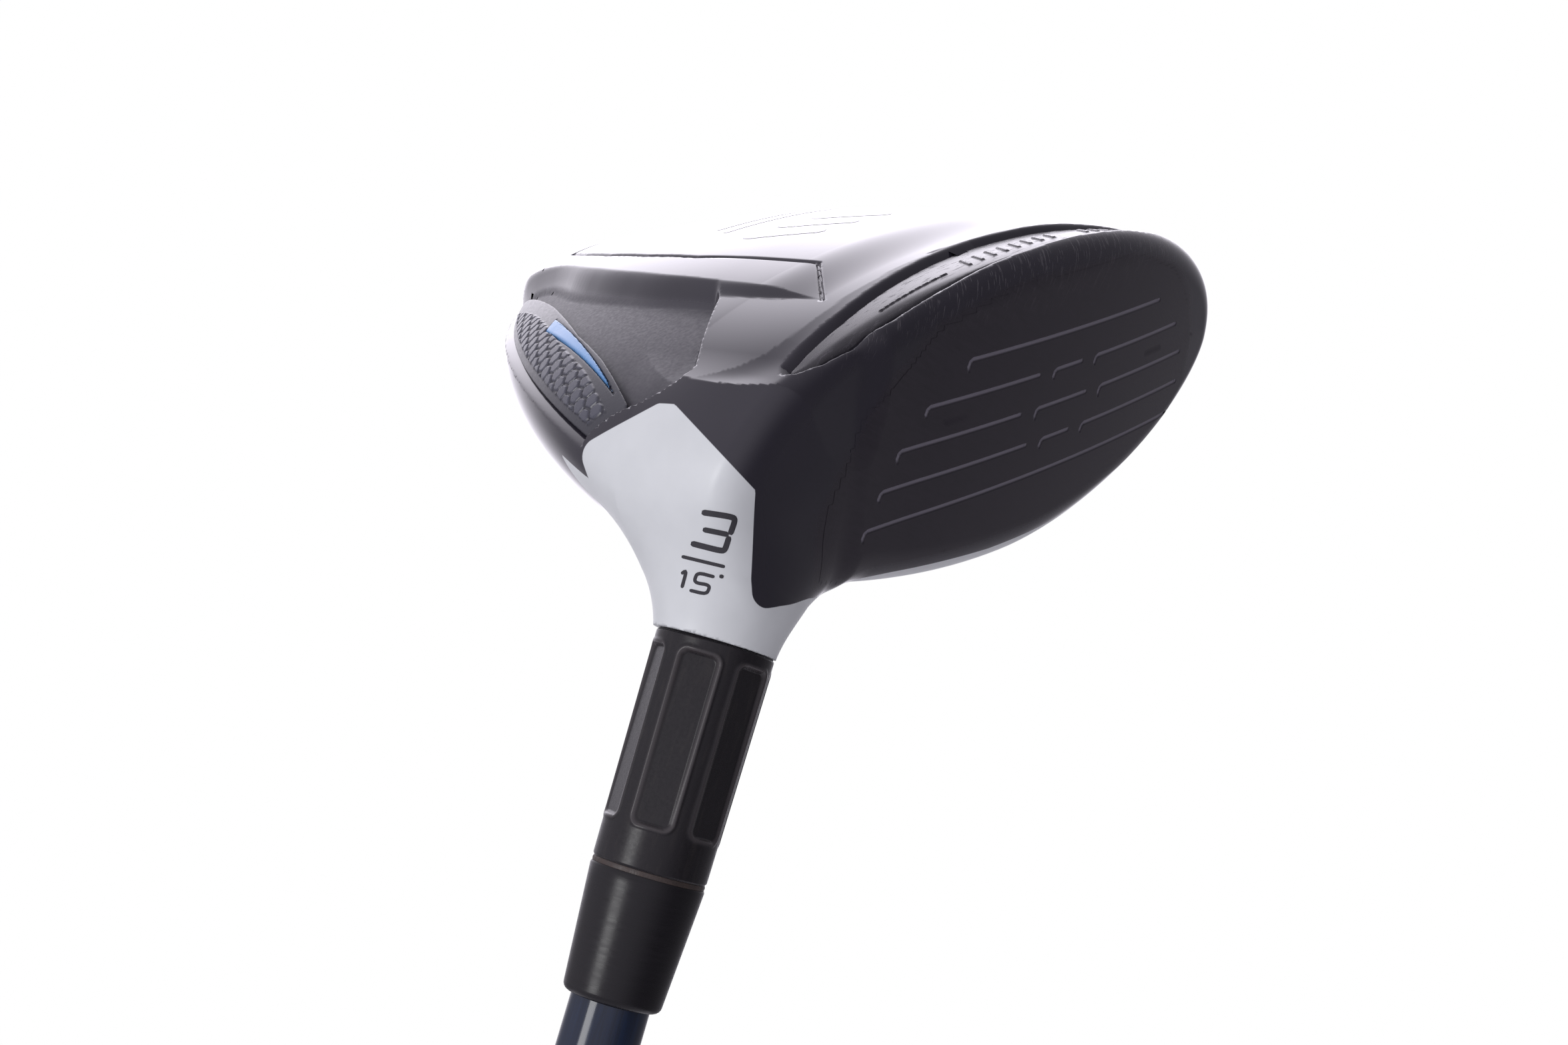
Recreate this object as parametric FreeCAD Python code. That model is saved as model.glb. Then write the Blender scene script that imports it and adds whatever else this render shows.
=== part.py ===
import FreeCAD, Part
import math
import os

os.makedirs("parts", exist_ok=True)
V = FreeCAD.Vector

# ---------------------------------------------------------------------------
# Fairway wood, right-handed, 15 degrees, bonded hosel.  Millimetres.
#
# The head is drawn at address: +X to the toe, +Y to the target, +Z up, with the
# shaft axis through the origin just under the heel.  Every piece is then turned
# so that the shaft stands on +Z with the grip cap at the origin and the head up.
# A station on the shaft axis is its distance from the address origin.
# ---------------------------------------------------------------------------

# whole club
CLUB_LENGTH = 1098.5        # grip cap to the address origin, along the shaft
LIE = 59.6                  # shaft to the ground, degrees
LOFT = 14.8                 # face to the vertical, degrees

# head outline seen from above, about the line x = HEAD_MID
HEAD_MID = 30.0
HEEL_HALF = 56.0
TOE_HALF = 42.0
REAR_Y = -77.0
WIDEST_Y = -8.0
FRONT_REACH = 46.0          # from the widest line to where the outline would close in front
FRONT_CUT_Y = 22.0          # the loft stops here, well in front of the face
HEEL_POWER = 1.38
TOE_POWER = 2.1
FRONT_POWER = 2.6
STATIONS = (0.4, 1.5, 4.0, 8.0, 14.0, 22.0, 32.0, 44.0, 56.0, 69.0, 79.0, 89.0, 99.0)

# head heights
SOLE_Z = -2.0
SOLE_REAR_RADIUS = 240.0
SOLE_REAR_START = -15.0
LEADING_EDGE_START = 8.0
LEADING_EDGE_RISE = 45.0
SKIRT_REAR_Z = 12.0
SKIRT_RISE = 5.5
CROWN_RISE = 26.0
CROWN_FRONT_DROP = 170.0
CROWN_DOME = 2.3             # exponent of the crown's line from front to rear
CROWN_LIFT = 0.5
SOLE_POWER = 2.1
CROWN_POWER = 1.8
SECTION_POINTS = 28

# face
FACE_CENTRE = V(30.4, 10.7, 18.1)
FACE_RADIUS = 300.0
FACE_EDGE_ROUND = 3.5
FACE_PLATE_THICK = 2.2
FACE_GAP = 0.3              # room for the weld behind the plate
# plate outline on the face: toe direction, crown direction
FACE_OUTLINE = ((-41.0, 13.0), (-35.0, 15.6), (0.0, 15.8), (23.0, 14.6), (30.5, 11.5), (32.0, 5.0),
                (31.4, -1.0), (28.4, -7.5), (22.5, -12.8), (12.0, -16.4), (-12.0, -16.8),
                (-26.0, -13.6), (-36.0, -5.5), (-41.0, 5.0))
GROOVE_PITCH = 4.5
GROOVE_WIDTH = 0.55
GROOVE_DEPTH = 0.3
# heel end and toe end of each score line, sole side first
GROOVE_ENDS = ((-20.2, 20.0), (-26.4, 26.3), (-30.2, 29.4), (-32.2, 30.5), (-33.7, 30.8))
# lines broken about the middle: half of the centre piece, start of the outer pieces
GROOVE_GAP = {1: (2.9, 6.0), 2: (5.3, 8.5), 3: (2.9, 6.0)}
PRISM_BACK = -12.0          # how far a prism over the face reaches each way
PRISM_FRONT = 6.0

# shell and pockets, as depths below the outer skin
WALL = 0.9
CAVITY_FACE_GAP = 2.2
CROWN_THICK = 0.8
CROWN_SEAT = 1.0
CROWN_LEDGE = 1.8
CROWN_MARGIN = 5.0
LEDGE_WIDTH = 5.0
SLOT_TOP = 0.5
SLOT_DEPTH = 3.6
SLOT_BACK = 4.6
SLOT_HEEL_X = -15.5
SLOT_TOE_X = 62.0
SLOT_FRONT_Y = 11.8
SLOT_REAR_Y = 5.2
SLOT_BACKING = 1.2          # how much wider than its pocket each backing wall is
WING_BACKING = 0.9
KEEL_BACKING = 1.0
CROWN_BACKING = 1.5
WING_DEPTH = 1.8
WING_BACK = 2.6
WING_MARGIN = 2.2
BAND_TOP = 0.5
BAND_MARGIN = 2.7
BAND_REAR_Y = -58.5
KEEL_PLATE_SEAT = 1.0
KEEL_WEIGHT_SEAT = 2.6
KEEL_WEIGHT_DEPTH = 6.0
GLUE_DEPTH = 4.6
GLUE_RADIUS = 6.0
GLUE_Y = -14.0

# hosel, ferrule and shaft
BORE_RADIUS = 4.40
SHAFT_TIP_RADIUS = 4.30
BORE_FLOOR = 27.0
HOSEL_RING = 40.9
HOSEL_RING_RADIUS = 6.61
HOSEL_TOP = 65.9
HOSEL_TOP_RADIUS = 6.29
NECK_ROOT = 21.0
NECK_ROOT_RADIUS = 6.6
FLUTE_COUNT = 6
FLUTE_START = 42.7
FLUTE_END = 61.2
FLUTE_WIDTH = 4.4
FLUTE_CORNER = 0.8
FLUTE_FLAT = 5.85           # radius of the flat floor of a flute
SEAM_BEAD = 0.5
SEAM_INSET = 0.12
FERRULE_END = 80.0
FERRULE_END_RADIUS = 5.38
FERRULE_ROUND = 0.8
TIP_PARALLEL_END = 112.0
BUTT_PARALLEL_START = 800.0
BUTT_RADIUS = 7.6
TIP_BORE_RADIUS = 2.5
BUTT_BORE_RADIUS = 6.5
BUTT_INSET = 4.0            # the shaft ends this far inside the grip cap
TIP_WEIGHT_LENGTH = 16.0
LABEL_START = 395.0
LABEL_LENGTH = 62.0
LABEL_THICK = 0.06

# grip, as heights above the cap
GRIP_LENGTH = 267.0
GRIP_MOUTH_RADIUS = 8.7
GRIP_LOWER_RADIUS = 9.2
GRIP_HAND_RADIUS = 11.5
GRIP_HAND_Z = 52.0
GRIP_BUTT_RADIUS = 13.4
TAPE_THICK = 0.18
TAPE_SHORT = 5.0            # the tape ends this far inside the grip's mouth
CAP_HEIGHT = 4.0
CAP_RIM = 2.4
VENT_RADIUS = 1.6

rad = math.radians
SHAFT_AXIS = V(-math.cos(rad(LIE)), 0, math.sin(rad(LIE)))
FACE_NORMAL = V(0, math.cos(rad(LOFT)), math.sin(rad(LOFT)))
FACE_UP = V(0, -math.sin(rad(LOFT)), math.cos(rad(LOFT)))


# --- frames ----------------------------------------------------------------

def to_club(shape):
    """Turn a shape drawn at address so that the shaft stands on +Z, head up."""
    c, s = math.cos(rad(LIE)), math.sin(rad(LIE))
    turn = FreeCAD.Matrix(s, 0, c, 0,
                          0, -1, 0, 0,
                          c, 0, -s, CLUB_LENGTH,
                          0, 0, 0, 1)
    return shape.transformed(turn)


def revolve(points):
    """Solid of revolution about +Z from (radius, height) points."""
    wire = Part.makePolygon([V(r, 0, z) for r, z in points + points[:1]])
    return Part.Face(wire).revolve(V(0, 0, 0), V(0, 0, 1), 360)


def up_the_club(station):
    """Height above the grip cap of a station on the shaft axis."""
    return CLUB_LENGTH - station


# --- outer form of the head -------------------------------------------------

def outline_half(y, half, power, inset):
    half -= inset
    if y < WIDEST_Y:
        t = (WIDEST_Y - y) / (WIDEST_Y - REAR_Y - inset)
    else:
        t = (y - WIDEST_Y) / FRONT_REACH
        power = FRONT_POWER
    return half * max(0.0, 1 - min(t, 1.0) ** power) ** (1 / power)


def sole_height(y):
    rear = max(0.0, SOLE_REAR_START - y)
    front = max(0.0, y - LEADING_EDGE_START)
    return SOLE_Z + rear ** 2 / (2 * SOLE_REAR_RADIUS) + front ** 2 / LEADING_EDGE_RISE


def skirt_height(y):
    t = (y - REAR_Y) / (WIDEST_Y - REAR_Y)
    return SKIRT_REAR_Z + SKIRT_RISE * min(max(t, 0.0), 1.0) ** 3


def crown_height(y, inset):
    t = min(max((WIDEST_Y - y) / (WIDEST_Y - REAR_Y - inset), 0.0), 1.0)
    front = max(0.0, y - WIDEST_Y)
    dome = (CROWN_RISE - inset) * max(0.0, 1 - t ** CROWN_DOME) ** (1 / CROWN_POWER)
    return SKIRT_REAR_Z + CROWN_LIFT + dome - front ** 2 / CROWN_FRONT_DROP


def section(y, inset):
    """Closed smooth section of the head at y, shrunk by inset."""
    heel = outline_half(y, HEEL_HALF, HEEL_POWER, inset)
    toe = outline_half(y, TOE_HALF, TOE_POWER, inset)
    skirt = skirt_height(y)
    down = skirt - sole_height(y) - inset
    up = crown_height(y, inset) - skirt
    points = []
    for i in range(SECTION_POINTS):
        a = 2 * math.pi * (i + 0.5) / SECTION_POINTS
        c, s = math.cos(a), math.sin(a)
        power = 2 / (CROWN_POWER if s > 0 else SOLE_POWER)
        side, height = (toe if c > 0 else heel), (up if s > 0 else down)
        points.append(V(HEAD_MID + math.copysign(side * abs(c) ** power, c), y,
                        skirt + math.copysign(height * abs(s) ** power, s)))
    curve = Part.BSplineCurve()
    curve.interpolate(Points=points, PeriodicFlag=True)
    return Part.Wire([curve.toShape()])


def face_ball(behind=0.0):
    centre = FACE_CENTRE - FACE_NORMAL * FACE_RADIUS
    return Part.makeSphere(FACE_RADIUS - behind, centre)


def form(inset, behind=0.0):
    """The head's outer form moved inwards by inset, cut by the curved face."""
    rear = REAR_Y + inset
    wires = [section(rear + step * (FRONT_CUT_Y - rear) / STATIONS[-1], inset) for step in STATIONS]
    return Part.makeLoft(wires, True, False).common(face_ball(behind))


def prism(outline, low, high):
    """Upright prism over a plan outline of (x, y) points."""
    wire = Part.makePolygon([V(x, y, low) for x, y in outline + outline[:1]])
    return Part.Face(wire).extrude(V(0, 0, high - low))


def layer(top, bottom, region):
    """The skin of one region between two depths below the outer form."""
    return FORMS[top].common(region).cut(FORMS[bottom])


def mirror_x(x):
    """Heel-side x carried over to the toe side, which is a little narrower."""
    return HEAD_MID + (HEAD_MID - x) * TOE_HALF / HEEL_HALF


def margin_x(y, margin, side):
    """x of the line that runs inside the outline by margin."""
    if side == "heel":
        return HEAD_MID - outline_half(y, HEEL_HALF, HEEL_POWER, 0) + margin
    return HEAD_MID + outline_half(y, TOE_HALF, TOE_POWER, 0) - margin


# --- face --------------------------------------------------------------------

def on_face(across, up, out=0.0):
    return FACE_CENTRE + V(across, 0, 0) + FACE_UP * up + FACE_NORMAL * out


def face_prism(outline):
    """Prism along the face normal over an outline in face coordinates."""
    wire = Part.makePolygon([on_face(a, b, PRISM_BACK) for a, b in outline + outline[:1]])
    return Part.Face(wire).extrude(FACE_NORMAL * (PRISM_FRONT - PRISM_BACK))


def face_opening():
    return face_prism(list(FACE_OUTLINE))


def groove_spans(index):
    """Heel and toe ends of the stretches of one score line."""
    heel, toe = GROOVE_ENDS[index]
    if index not in GROOVE_GAP:
        return [(heel, toe)]
    inner, outer = GROOVE_GAP[index]
    return [(heel, -outer), (-inner, inner), (outer, toe)]


def score_lines():
    half = GROOVE_WIDTH / 2
    bars = []
    for index in range(len(GROOVE_ENDS)):
        up = (index - 2) * GROOVE_PITCH
        for heel, toe in groove_spans(index):
            bars.append(face_prism([(heel, up - half), (toe, up - half),
                                    (toe, up + half), (heel, up + half)]))
    return Part.makeCompound(bars).cut(face_ball(GROOVE_DEPTH))


def face_plate():
    plate = face_ball().cut(face_ball(FACE_PLATE_THICK)).common(face_opening())
    return plate.cut(score_lines())


# --- plan outlines of what is let into the sole and crown ---------------------

def slot_outline(grow=0.0):
    """Long slot across the sole with round ends."""
    radius = (SLOT_FRONT_Y - SLOT_REAR_Y) / 2 + grow
    middle = (SLOT_FRONT_Y + SLOT_REAR_Y) / 2
    heel, toe = SLOT_HEEL_X + radius - grow, SLOT_TOE_X - radius + grow
    arc = [rad(a) for a in range(0, 181, 15)]
    toe_end = [(toe + radius * math.sin(a), middle + radius * math.cos(a)) for a in arc]
    heel_end = [(heel - radius * math.sin(a), middle - radius * math.cos(a)) for a in arc]
    return toe_end + heel_end


def to_side(points, side):
    return points if side == "heel" else [(mirror_x(x), y) for x, y in points]


def wing_outline(side, grow=0.0):
    """Recess beside the keel: corner by the hosel, along the keel, back round the skirt."""
    keel_edge = [(-20.5, -5.0 + grow), (-16.0, -4.3 + grow), (-3.3, -12.7 + grow),
                 (-0.9 + grow, -14.5 + grow), (0.5 + grow, -25), (3.0 + grow, -35),
                 (6.5 + grow, -44), (11.0 + grow, -53), (14.0 + grow, -60.0 - grow)]
    rows = (-60 - grow, -52, -44, -36, -28, -20, -13)
    skirt_edge = [(margin_x(y, WING_MARGIN - grow, side), y) for y in rows]
    corner = [(-22.6 - grow, -9.4)]
    return to_side(keel_edge, side) + skirt_edge + to_side(corner, side)


def band_outline(side):
    """Outer band of the wing recess, next to the skirt."""
    inner = [(-21.0, -10.2), (-15.0, -20), (-10.0, -29), (-4.0, -38),
             (0.0, -44), (5.0, -52), (8.8, BAND_REAR_Y)]
    outer = [(margin_x(y, BAND_MARGIN, side), y) for y in (BAND_REAR_Y, -52, -44, -36, -28, -20, -13)]
    corner = [(-22.0, -10.4)]
    return to_side(inner, side) + outer + to_side(corner, side)


def accent_outline(side):
    """Long thin triangle along the inner edge of the band."""
    return to_side([(-19.9, -13.4), (-4.6, -38.6), (-8.6, -38.0)], side)


def keel_plate_outline(grow=0.0):
    heel = [(6.8, -6.0 + grow), (6.5, -25), (8.0, -35), (11.0, -45), (15.0, -54), (18.5, -60 - grow)]
    heel = [(x - grow, y) for x, y in heel]
    return heel + [(mirror_x(x), y) for x, y in reversed(heel)]


def crown_outline(margin):
    """Panel outline: clear of the hosel at the heel, straight behind the face."""
    front = -1.0 - (margin - CROWN_MARGIN)
    rows = [WIDEST_Y - 6 - i * 8.0 for i in range(7)] + [REAR_Y + 4 + margin * 0.6]
    toe = [(margin_x(y, margin, "toe"), y) for y in rows]
    heel = [(margin_x(y, margin, "heel"), y) for y in reversed(rows[1:])]
    return ([(4.0, front), (HEAD_MID + 30 - margin, front), (HEAD_MID + 38 - margin, front - 5)]
            + toe + heel)


# --- head pieces ---------------------------------------------------------------

BELOW, SOLE_TOP, CROWN_LOW, ABOVE = -8.0, 12.0, 15.0, 50.0


def neck():
    """Hosel tube with its flare, the boss that carries on inside the head, and the blind bore."""
    tube = [(HOSEL_TOP_RADIUS, HOSEL_TOP), (HOSEL_RING_RADIUS, HOSEL_RING), (7.0, 37.8), (7.9, 35.5),
            (9.4, 33.0), (NECK_ROOT_RADIUS + 3, 29.0), (NECK_ROOT_RADIUS, BORE_FLOOR),
            (NECK_ROOT_RADIUS, NECK_ROOT + 2), (NECK_ROOT_RADIUS - 2, NECK_ROOT),
            (0, NECK_ROOT), (0, HOSEL_TOP)]
    return lean(revolve(tube))


def lean(shape):
    """Carry a solid drawn along +Z onto the shaft axis at address."""
    shape.rotate(V(0, 0, 0), V(0, 1, 0), LIE - 90)
    return shape


def bore():
    return lean(Part.makeCylinder(BORE_RADIUS, HOSEL_TOP + 5 - BORE_FLOOR, V(0, 0, BORE_FLOOR)))


def flutes():
    """Shallow flat-floored windows round the hosel, with rounded ends."""
    windows = []
    reach = HOSEL_RING_RADIUS + 1 - FLUTE_FLAT
    for i in range(FLUTE_COUNT):
        window = Part.makeBox(reach, FLUTE_WIDTH, FLUTE_END - FLUTE_START,
                              V(FLUTE_FLAT, -FLUTE_WIDTH / 2, FLUTE_START))
        window = window.makeFillet(FLUTE_CORNER, [e for e in window.Edges if is_along_x(e)])
        window.rotate(V(0, 0, 0), V(0, 0, 1), 360 * i / FLUTE_COUNT)
        windows.append(lean(window))
    return Part.makeCompound(windows)


def is_along_x(edge):
    start, end = edge.Vertexes[0].Point, edge.Vertexes[-1].Point
    return abs(end.x - start.x) > 1e-6


def outer_blank():
    """Outer form with the edge of the face rounded over."""
    blank = FORMS[0.0]
    face = min(blank.Faces, key=lambda f: (f.CenterOfMass - FACE_CENTRE).Length)
    return blank.makeFillet(FACE_EDGE_ROUND, face.Edges)


def cavity():
    """Hollow of the head, kept clear of the pockets, the crown ledge and the hosel boss."""
    hollow = form(WALL, CAVITY_FACE_GAP)
    backings = [(prism(slot_outline(SLOT_BACKING), BELOW, SOLE_TOP), SLOT_BACK),
                (prism(wing_outline("heel", WING_BACKING), BELOW, SOLE_TOP), WING_BACK),
                (prism(wing_outline("toe", WING_BACKING), BELOW, SOLE_TOP), WING_BACK),
                (prism(keel_plate_outline(KEEL_BACKING), BELOW, SOLE_TOP), KEEL_WEIGHT_SEAT),
                (prism(crown_outline(CROWN_MARGIN - CROWN_BACKING), CROWN_LOW, ABOVE)
                 .cut(prism(crown_outline(CROWN_MARGIN + LEDGE_WIDTH), CROWN_LOW, ABOVE)), CROWN_LEDGE)]
    for region, depth in backings:
        hollow = hollow.cut(region.cut(FORMS[depth]))
    return hollow.cut(neck())


def head_body():
    body = outer_blank().fuse(neck())
    body = body.cut(face_ball(-FACE_GAP).cut(face_ball(FACE_PLATE_THICK + FACE_GAP)).common(face_opening()))
    body = body.cut(prism(slot_outline(), BELOW, SOLE_TOP))
    for side in ("heel", "toe"):
        body = body.cut(prism(wing_outline(side), BELOW, SOLE_TOP).cut(FORMS[WING_DEPTH]))
    body = body.cut(prism(keel_plate_outline(), BELOW, SOLE_TOP).cut(FORMS[KEEL_PLATE_SEAT]))
    body = body.cut(prism(crown_outline(CROWN_MARGIN), CROWN_LOW, ABOVE).cut(FORMS[CROWN_SEAT]))
    body = body.cut(cavity())
    body = body.cut(prism(crown_outline(CROWN_MARGIN + LEDGE_WIDTH), CROWN_LOW, ABOVE))
    return body.cut(bore()).cut(flutes())


def crown_panel():
    return layer(0.0, CROWN_THICK, prism(crown_outline(CROWN_MARGIN), CROWN_LOW, ABOVE))


def crown_bond():
    ring = prism(crown_outline(CROWN_MARGIN), CROWN_LOW, ABOVE)
    ring = ring.cut(prism(crown_outline(CROWN_MARGIN + LEDGE_WIDTH), CROWN_LOW, ABOVE))
    return layer(CROWN_THICK, CROWN_SEAT, ring)


def slot_insert():
    return layer(SLOT_TOP, SLOT_DEPTH, prism(slot_outline(), BELOW, SOLE_TOP))


def keel_plate():
    return layer(0.0, KEEL_PLATE_SEAT, prism(keel_plate_outline(), BELOW, SOLE_TOP))


def wing_inlay(side):
    band = layer(BAND_TOP, WING_DEPTH, prism(band_outline(side), BELOW, SOLE_TOP))
    return band.cut(prism(accent_outline(side), BELOW, SOLE_TOP))


def accent(side):
    return layer(BAND_TOP, WING_DEPTH, prism(accent_outline(side), BELOW, SOLE_TOP))


def keel_weight():
    block = prism([(16, -22), (42, -22), (40, -46), (35, -56), (24, -56), (18, -46)], BELOW, SOLE_TOP)
    return layer(KEEL_WEIGHT_SEAT, KEEL_WEIGHT_DEPTH, block)


def swing_glue():
    puddle = Part.makeCylinder(GLUE_RADIUS, SOLE_TOP - BELOW, V(HEAD_MID, GLUE_Y, BELOW))
    return layer(KEEL_WEIGHT_SEAT, GLUE_DEPTH, puddle)


# --- hosel joint, shaft and grip, drawn straight along +Z -------------------------

def shaft_radius(station):
    t = (station - TIP_PARALLEL_END) / (BUTT_PARALLEL_START - TIP_PARALLEL_END)
    return SHAFT_TIP_RADIUS + (BUTT_RADIUS - SHAFT_TIP_RADIUS) * min(max(t, 0.0), 1.0)


def ring_between(inner, outer, low_station, high_station):
    tube = Part.makeCylinder(outer, high_station - low_station, V(0, 0, up_the_club(high_station)))
    return tube.cut(Part.makeCylinder(inner, high_station - low_station, V(0, 0, up_the_club(high_station))))


def hosel_bond():
    """Epoxy between the shaft tip and the bore."""
    return ring_between(SHAFT_TIP_RADIUS, BORE_RADIUS, BORE_FLOOR, HOSEL_TOP)


def seam_ring():
    """Squeezed-out epoxy between the hosel's end and the ferrule."""
    return ring_between(SHAFT_TIP_RADIUS, HOSEL_TOP_RADIUS - SEAM_INSET, HOSEL_TOP, HOSEL_TOP + SEAM_BEAD)


def ferrule():
    low, high = up_the_club(FERRULE_END), up_the_club(HOSEL_TOP + SEAM_BEAD)
    round_off = [(FERRULE_END_RADIUS - FERRULE_ROUND * (1 - math.sin(rad(a))),
                  low + FERRULE_ROUND * (1 - math.cos(rad(a)))) for a in range(0, 91, 15)]
    base = [(HOSEL_TOP_RADIUS, high), (SHAFT_TIP_RADIUS, high)]
    return revolve([(SHAFT_TIP_RADIUS, low)] + round_off + base)


def shaft():
    stations = (BORE_FLOOR, TIP_PARALLEL_END, BUTT_PARALLEL_START, CLUB_LENGTH - BUTT_INSET)
    outside = [(shaft_radius(s), up_the_club(s)) for s in stations]
    bores = (TIP_BORE_RADIUS, TIP_BORE_RADIUS, BUTT_BORE_RADIUS, BUTT_BORE_RADIUS)
    inside = [(r, up_the_club(s)) for r, s in zip(bores, stations)]
    return revolve(outside + inside[::-1])


def tip_weight():
    return Part.makeCylinder(TIP_BORE_RADIUS, TIP_WEIGHT_LENGTH,
                             V(0, 0, up_the_club(BORE_FLOOR + TIP_WEIGHT_LENGTH)))


def shaft_label():
    """Printed band on the shaft, as thick as its film."""
    ends = (LABEL_START, LABEL_START + LABEL_LENGTH)
    inside = [(shaft_radius(s), up_the_club(s)) for s in ends]
    outside = [(shaft_radius(s) + LABEL_THICK, up_the_club(s)) for s in reversed(ends)]
    return revolve(inside + outside)


def grip_tape():
    length = GRIP_LENGTH - TAPE_SHORT - CAP_HEIGHT
    sleeve = Part.makeCylinder(BUTT_RADIUS + TAPE_THICK, length, V(0, 0, CAP_HEIGHT))
    return sleeve.cut(Part.makeCylinder(BUTT_RADIUS, length, V(0, 0, CAP_HEIGHT)))


def grip():
    """Tapered rubber sleeve, from the cap to its thin mouth."""
    inner = BUTT_RADIUS + TAPE_THICK
    outer = [(GRIP_BUTT_RADIUS, CAP_HEIGHT), (GRIP_BUTT_RADIUS - 0.2, 8), (GRIP_HAND_RADIUS + 0.9, 22),
             (GRIP_HAND_RADIUS, GRIP_HAND_Z), (GRIP_LOWER_RADIUS + 0.9, 140),
             (GRIP_LOWER_RADIUS, GRIP_LENGTH - 14), (GRIP_MOUTH_RADIUS, GRIP_LENGTH - 2),
             (GRIP_MOUTH_RADIUS - 0.5, GRIP_LENGTH)]
    return revolve(outer + [(inner, GRIP_LENGTH), (inner, CAP_HEIGHT)])


def grip_cap():
    """Moulded end cap, flat in the middle, with the vent hole for air."""
    top = GRIP_BUTT_RADIUS
    rim = [(top - CAP_RIM * (1 - math.sin(rad(a))), CAP_RIM * (1 - math.cos(rad(a))))
           for a in range(0, 91, 15)]
    return revolve([(VENT_RADIUS, 0)] + rim + [(top, CAP_HEIGHT), (VENT_RADIUS, CAP_HEIGHT)])


# --- write one file per piece -----------------------------------------------------

DEPTHS = {0.0, CROWN_THICK, CROWN_SEAT, CROWN_LEDGE, SLOT_TOP, SLOT_DEPTH, SLOT_BACK, WING_DEPTH, WING_BACK,
          BAND_TOP, KEEL_PLATE_SEAT, KEEL_WEIGHT_SEAT, KEEL_WEIGHT_DEPTH, GLUE_DEPTH}
FORMS = {depth: form(depth) for depth in sorted(DEPTHS)}

HEAD_PIECES = {
    "head_body": head_body(),
    "face_plate": face_plate(),
    "crown_panel": crown_panel(),
    "crown_bond": crown_bond(),
    "slot_insert": slot_insert(),
    "keel_plate": keel_plate(),
    "wing_inlay_heel": wing_inlay("heel"),
    "wing_inlay_toe": wing_inlay("toe"),
    "accent_heel": accent("heel"),
    "accent_toe": accent("toe"),
    "keel_weight": keel_weight(),
    "swing_glue": swing_glue(),
}

STRAIGHT_PIECES = {
    "hosel_bond": hosel_bond(),
    "seam_ring": seam_ring(),
    "ferrule": ferrule(),
    "shaft": shaft(),
    "tip_weight": tip_weight(),
    "shaft_label": shaft_label(),
    "grip_tape": grip_tape(),
    "grip": grip(),
    "grip_cap": grip_cap(),
}

for name, piece in HEAD_PIECES.items():
    to_club(piece).exportStep("parts/" + name + ".step")

for name, piece in STRAIGHT_PIECES.items():
    piece.exportStep("parts/" + name + ".step")
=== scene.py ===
import math

import bpy
import numpy as np
from mathutils import Matrix


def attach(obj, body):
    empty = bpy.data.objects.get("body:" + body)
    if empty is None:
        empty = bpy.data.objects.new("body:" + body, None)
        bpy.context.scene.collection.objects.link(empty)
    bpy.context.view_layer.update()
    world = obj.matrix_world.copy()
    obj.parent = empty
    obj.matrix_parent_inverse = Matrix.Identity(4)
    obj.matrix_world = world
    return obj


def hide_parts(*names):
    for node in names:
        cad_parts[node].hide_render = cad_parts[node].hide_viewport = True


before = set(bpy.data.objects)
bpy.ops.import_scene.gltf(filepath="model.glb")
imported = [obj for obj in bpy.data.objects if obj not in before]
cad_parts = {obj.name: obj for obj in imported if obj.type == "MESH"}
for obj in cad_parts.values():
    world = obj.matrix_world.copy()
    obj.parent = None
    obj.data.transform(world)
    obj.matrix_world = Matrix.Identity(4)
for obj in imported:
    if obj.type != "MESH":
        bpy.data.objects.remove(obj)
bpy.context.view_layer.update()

# The club is described in millimetres in its address frame: +X to the toe, +Y
# to the target, +Z up, the shaft's axis through the origin.  to_club() carries
# points from there into the row frame, in metres.

MM = 0.001
CLUB_LENGTH = 1098.5
LIE = math.radians(59.6)
LOFT = math.radians(14.8)
GRID = 0.36                 # size of a mesh cell on the head
FINE = 0.22                 # and on the small pieces let into it

SHAFT_AXIS = np.array([-math.cos(LIE), 0.0, math.sin(LIE)])
SIDE_A = np.array([0.0, 1.0, 0.0])
SIDE_B = np.cross(SHAFT_AXIS, SIDE_A)
TURN = np.array([[math.sin(LIE), 0, math.cos(LIE)], [0, -1, 0], [math.cos(LIE), 0, -math.sin(LIE)]])

# outline and heights of the head
HEAD_MID, HEEL_HALF, TOE_HALF = 30.0, 56.0, 42.0
REAR_Y, WIDEST_Y, FRONT_REACH = -77.0, -8.0, 46.0
HEEL_POWER, TOE_POWER, FRONT_POWER = 1.38, 2.1, 2.6
SOLE_POWER, CROWN_POWER = 2.1, 1.8
SKIRT_LOW, SKIRT_RISE = 12.0, 5.5
SOLE_LOW, SOLE_REAR_CURVE, SOLE_FRONT_CURVE = -2.0, 480, 45
CROWN_LOW, CROWN_RISE, CROWN_FRONT_CURVE = 12.5, 26, 170
SOLE_TOP = 16               # the sole's features end below this height, and behind this y

# face
FACE_CENTRE = np.array([30.4, 10.7, 18.1])
FACE_UP = np.array([0.0, -math.sin(LOFT), math.cos(LOFT)])
FACE_OUT = np.array([0.0, math.cos(LOFT), math.sin(LOFT)])
BULGE, ROLL = 340.0, 271.0
FLAT_FROM = -25.0           # the bulge dies away on the heel side of this
FLAT_SLOPE, FLAT_FADE = 0.02, 8
FACE_ROUND = 4.0
HEEL_AHEAD = 0.3            # how far ahead of the face the head alone reaches at the heel
CORNER_CLEAR = 3            # how far ahead of it the neck reaches at the corner

# hosel
RING, SEAM, FERRULE_END = 40.9, 65.9, 80.0
RING_R, SEAM_R, FERRULE_R = 6.61, 6.29, 5.38
TIP_R = 4.3
NECK_START, NECK_TAPER, NECK_FILLET = 22.0, 0.012, 11.0


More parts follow.
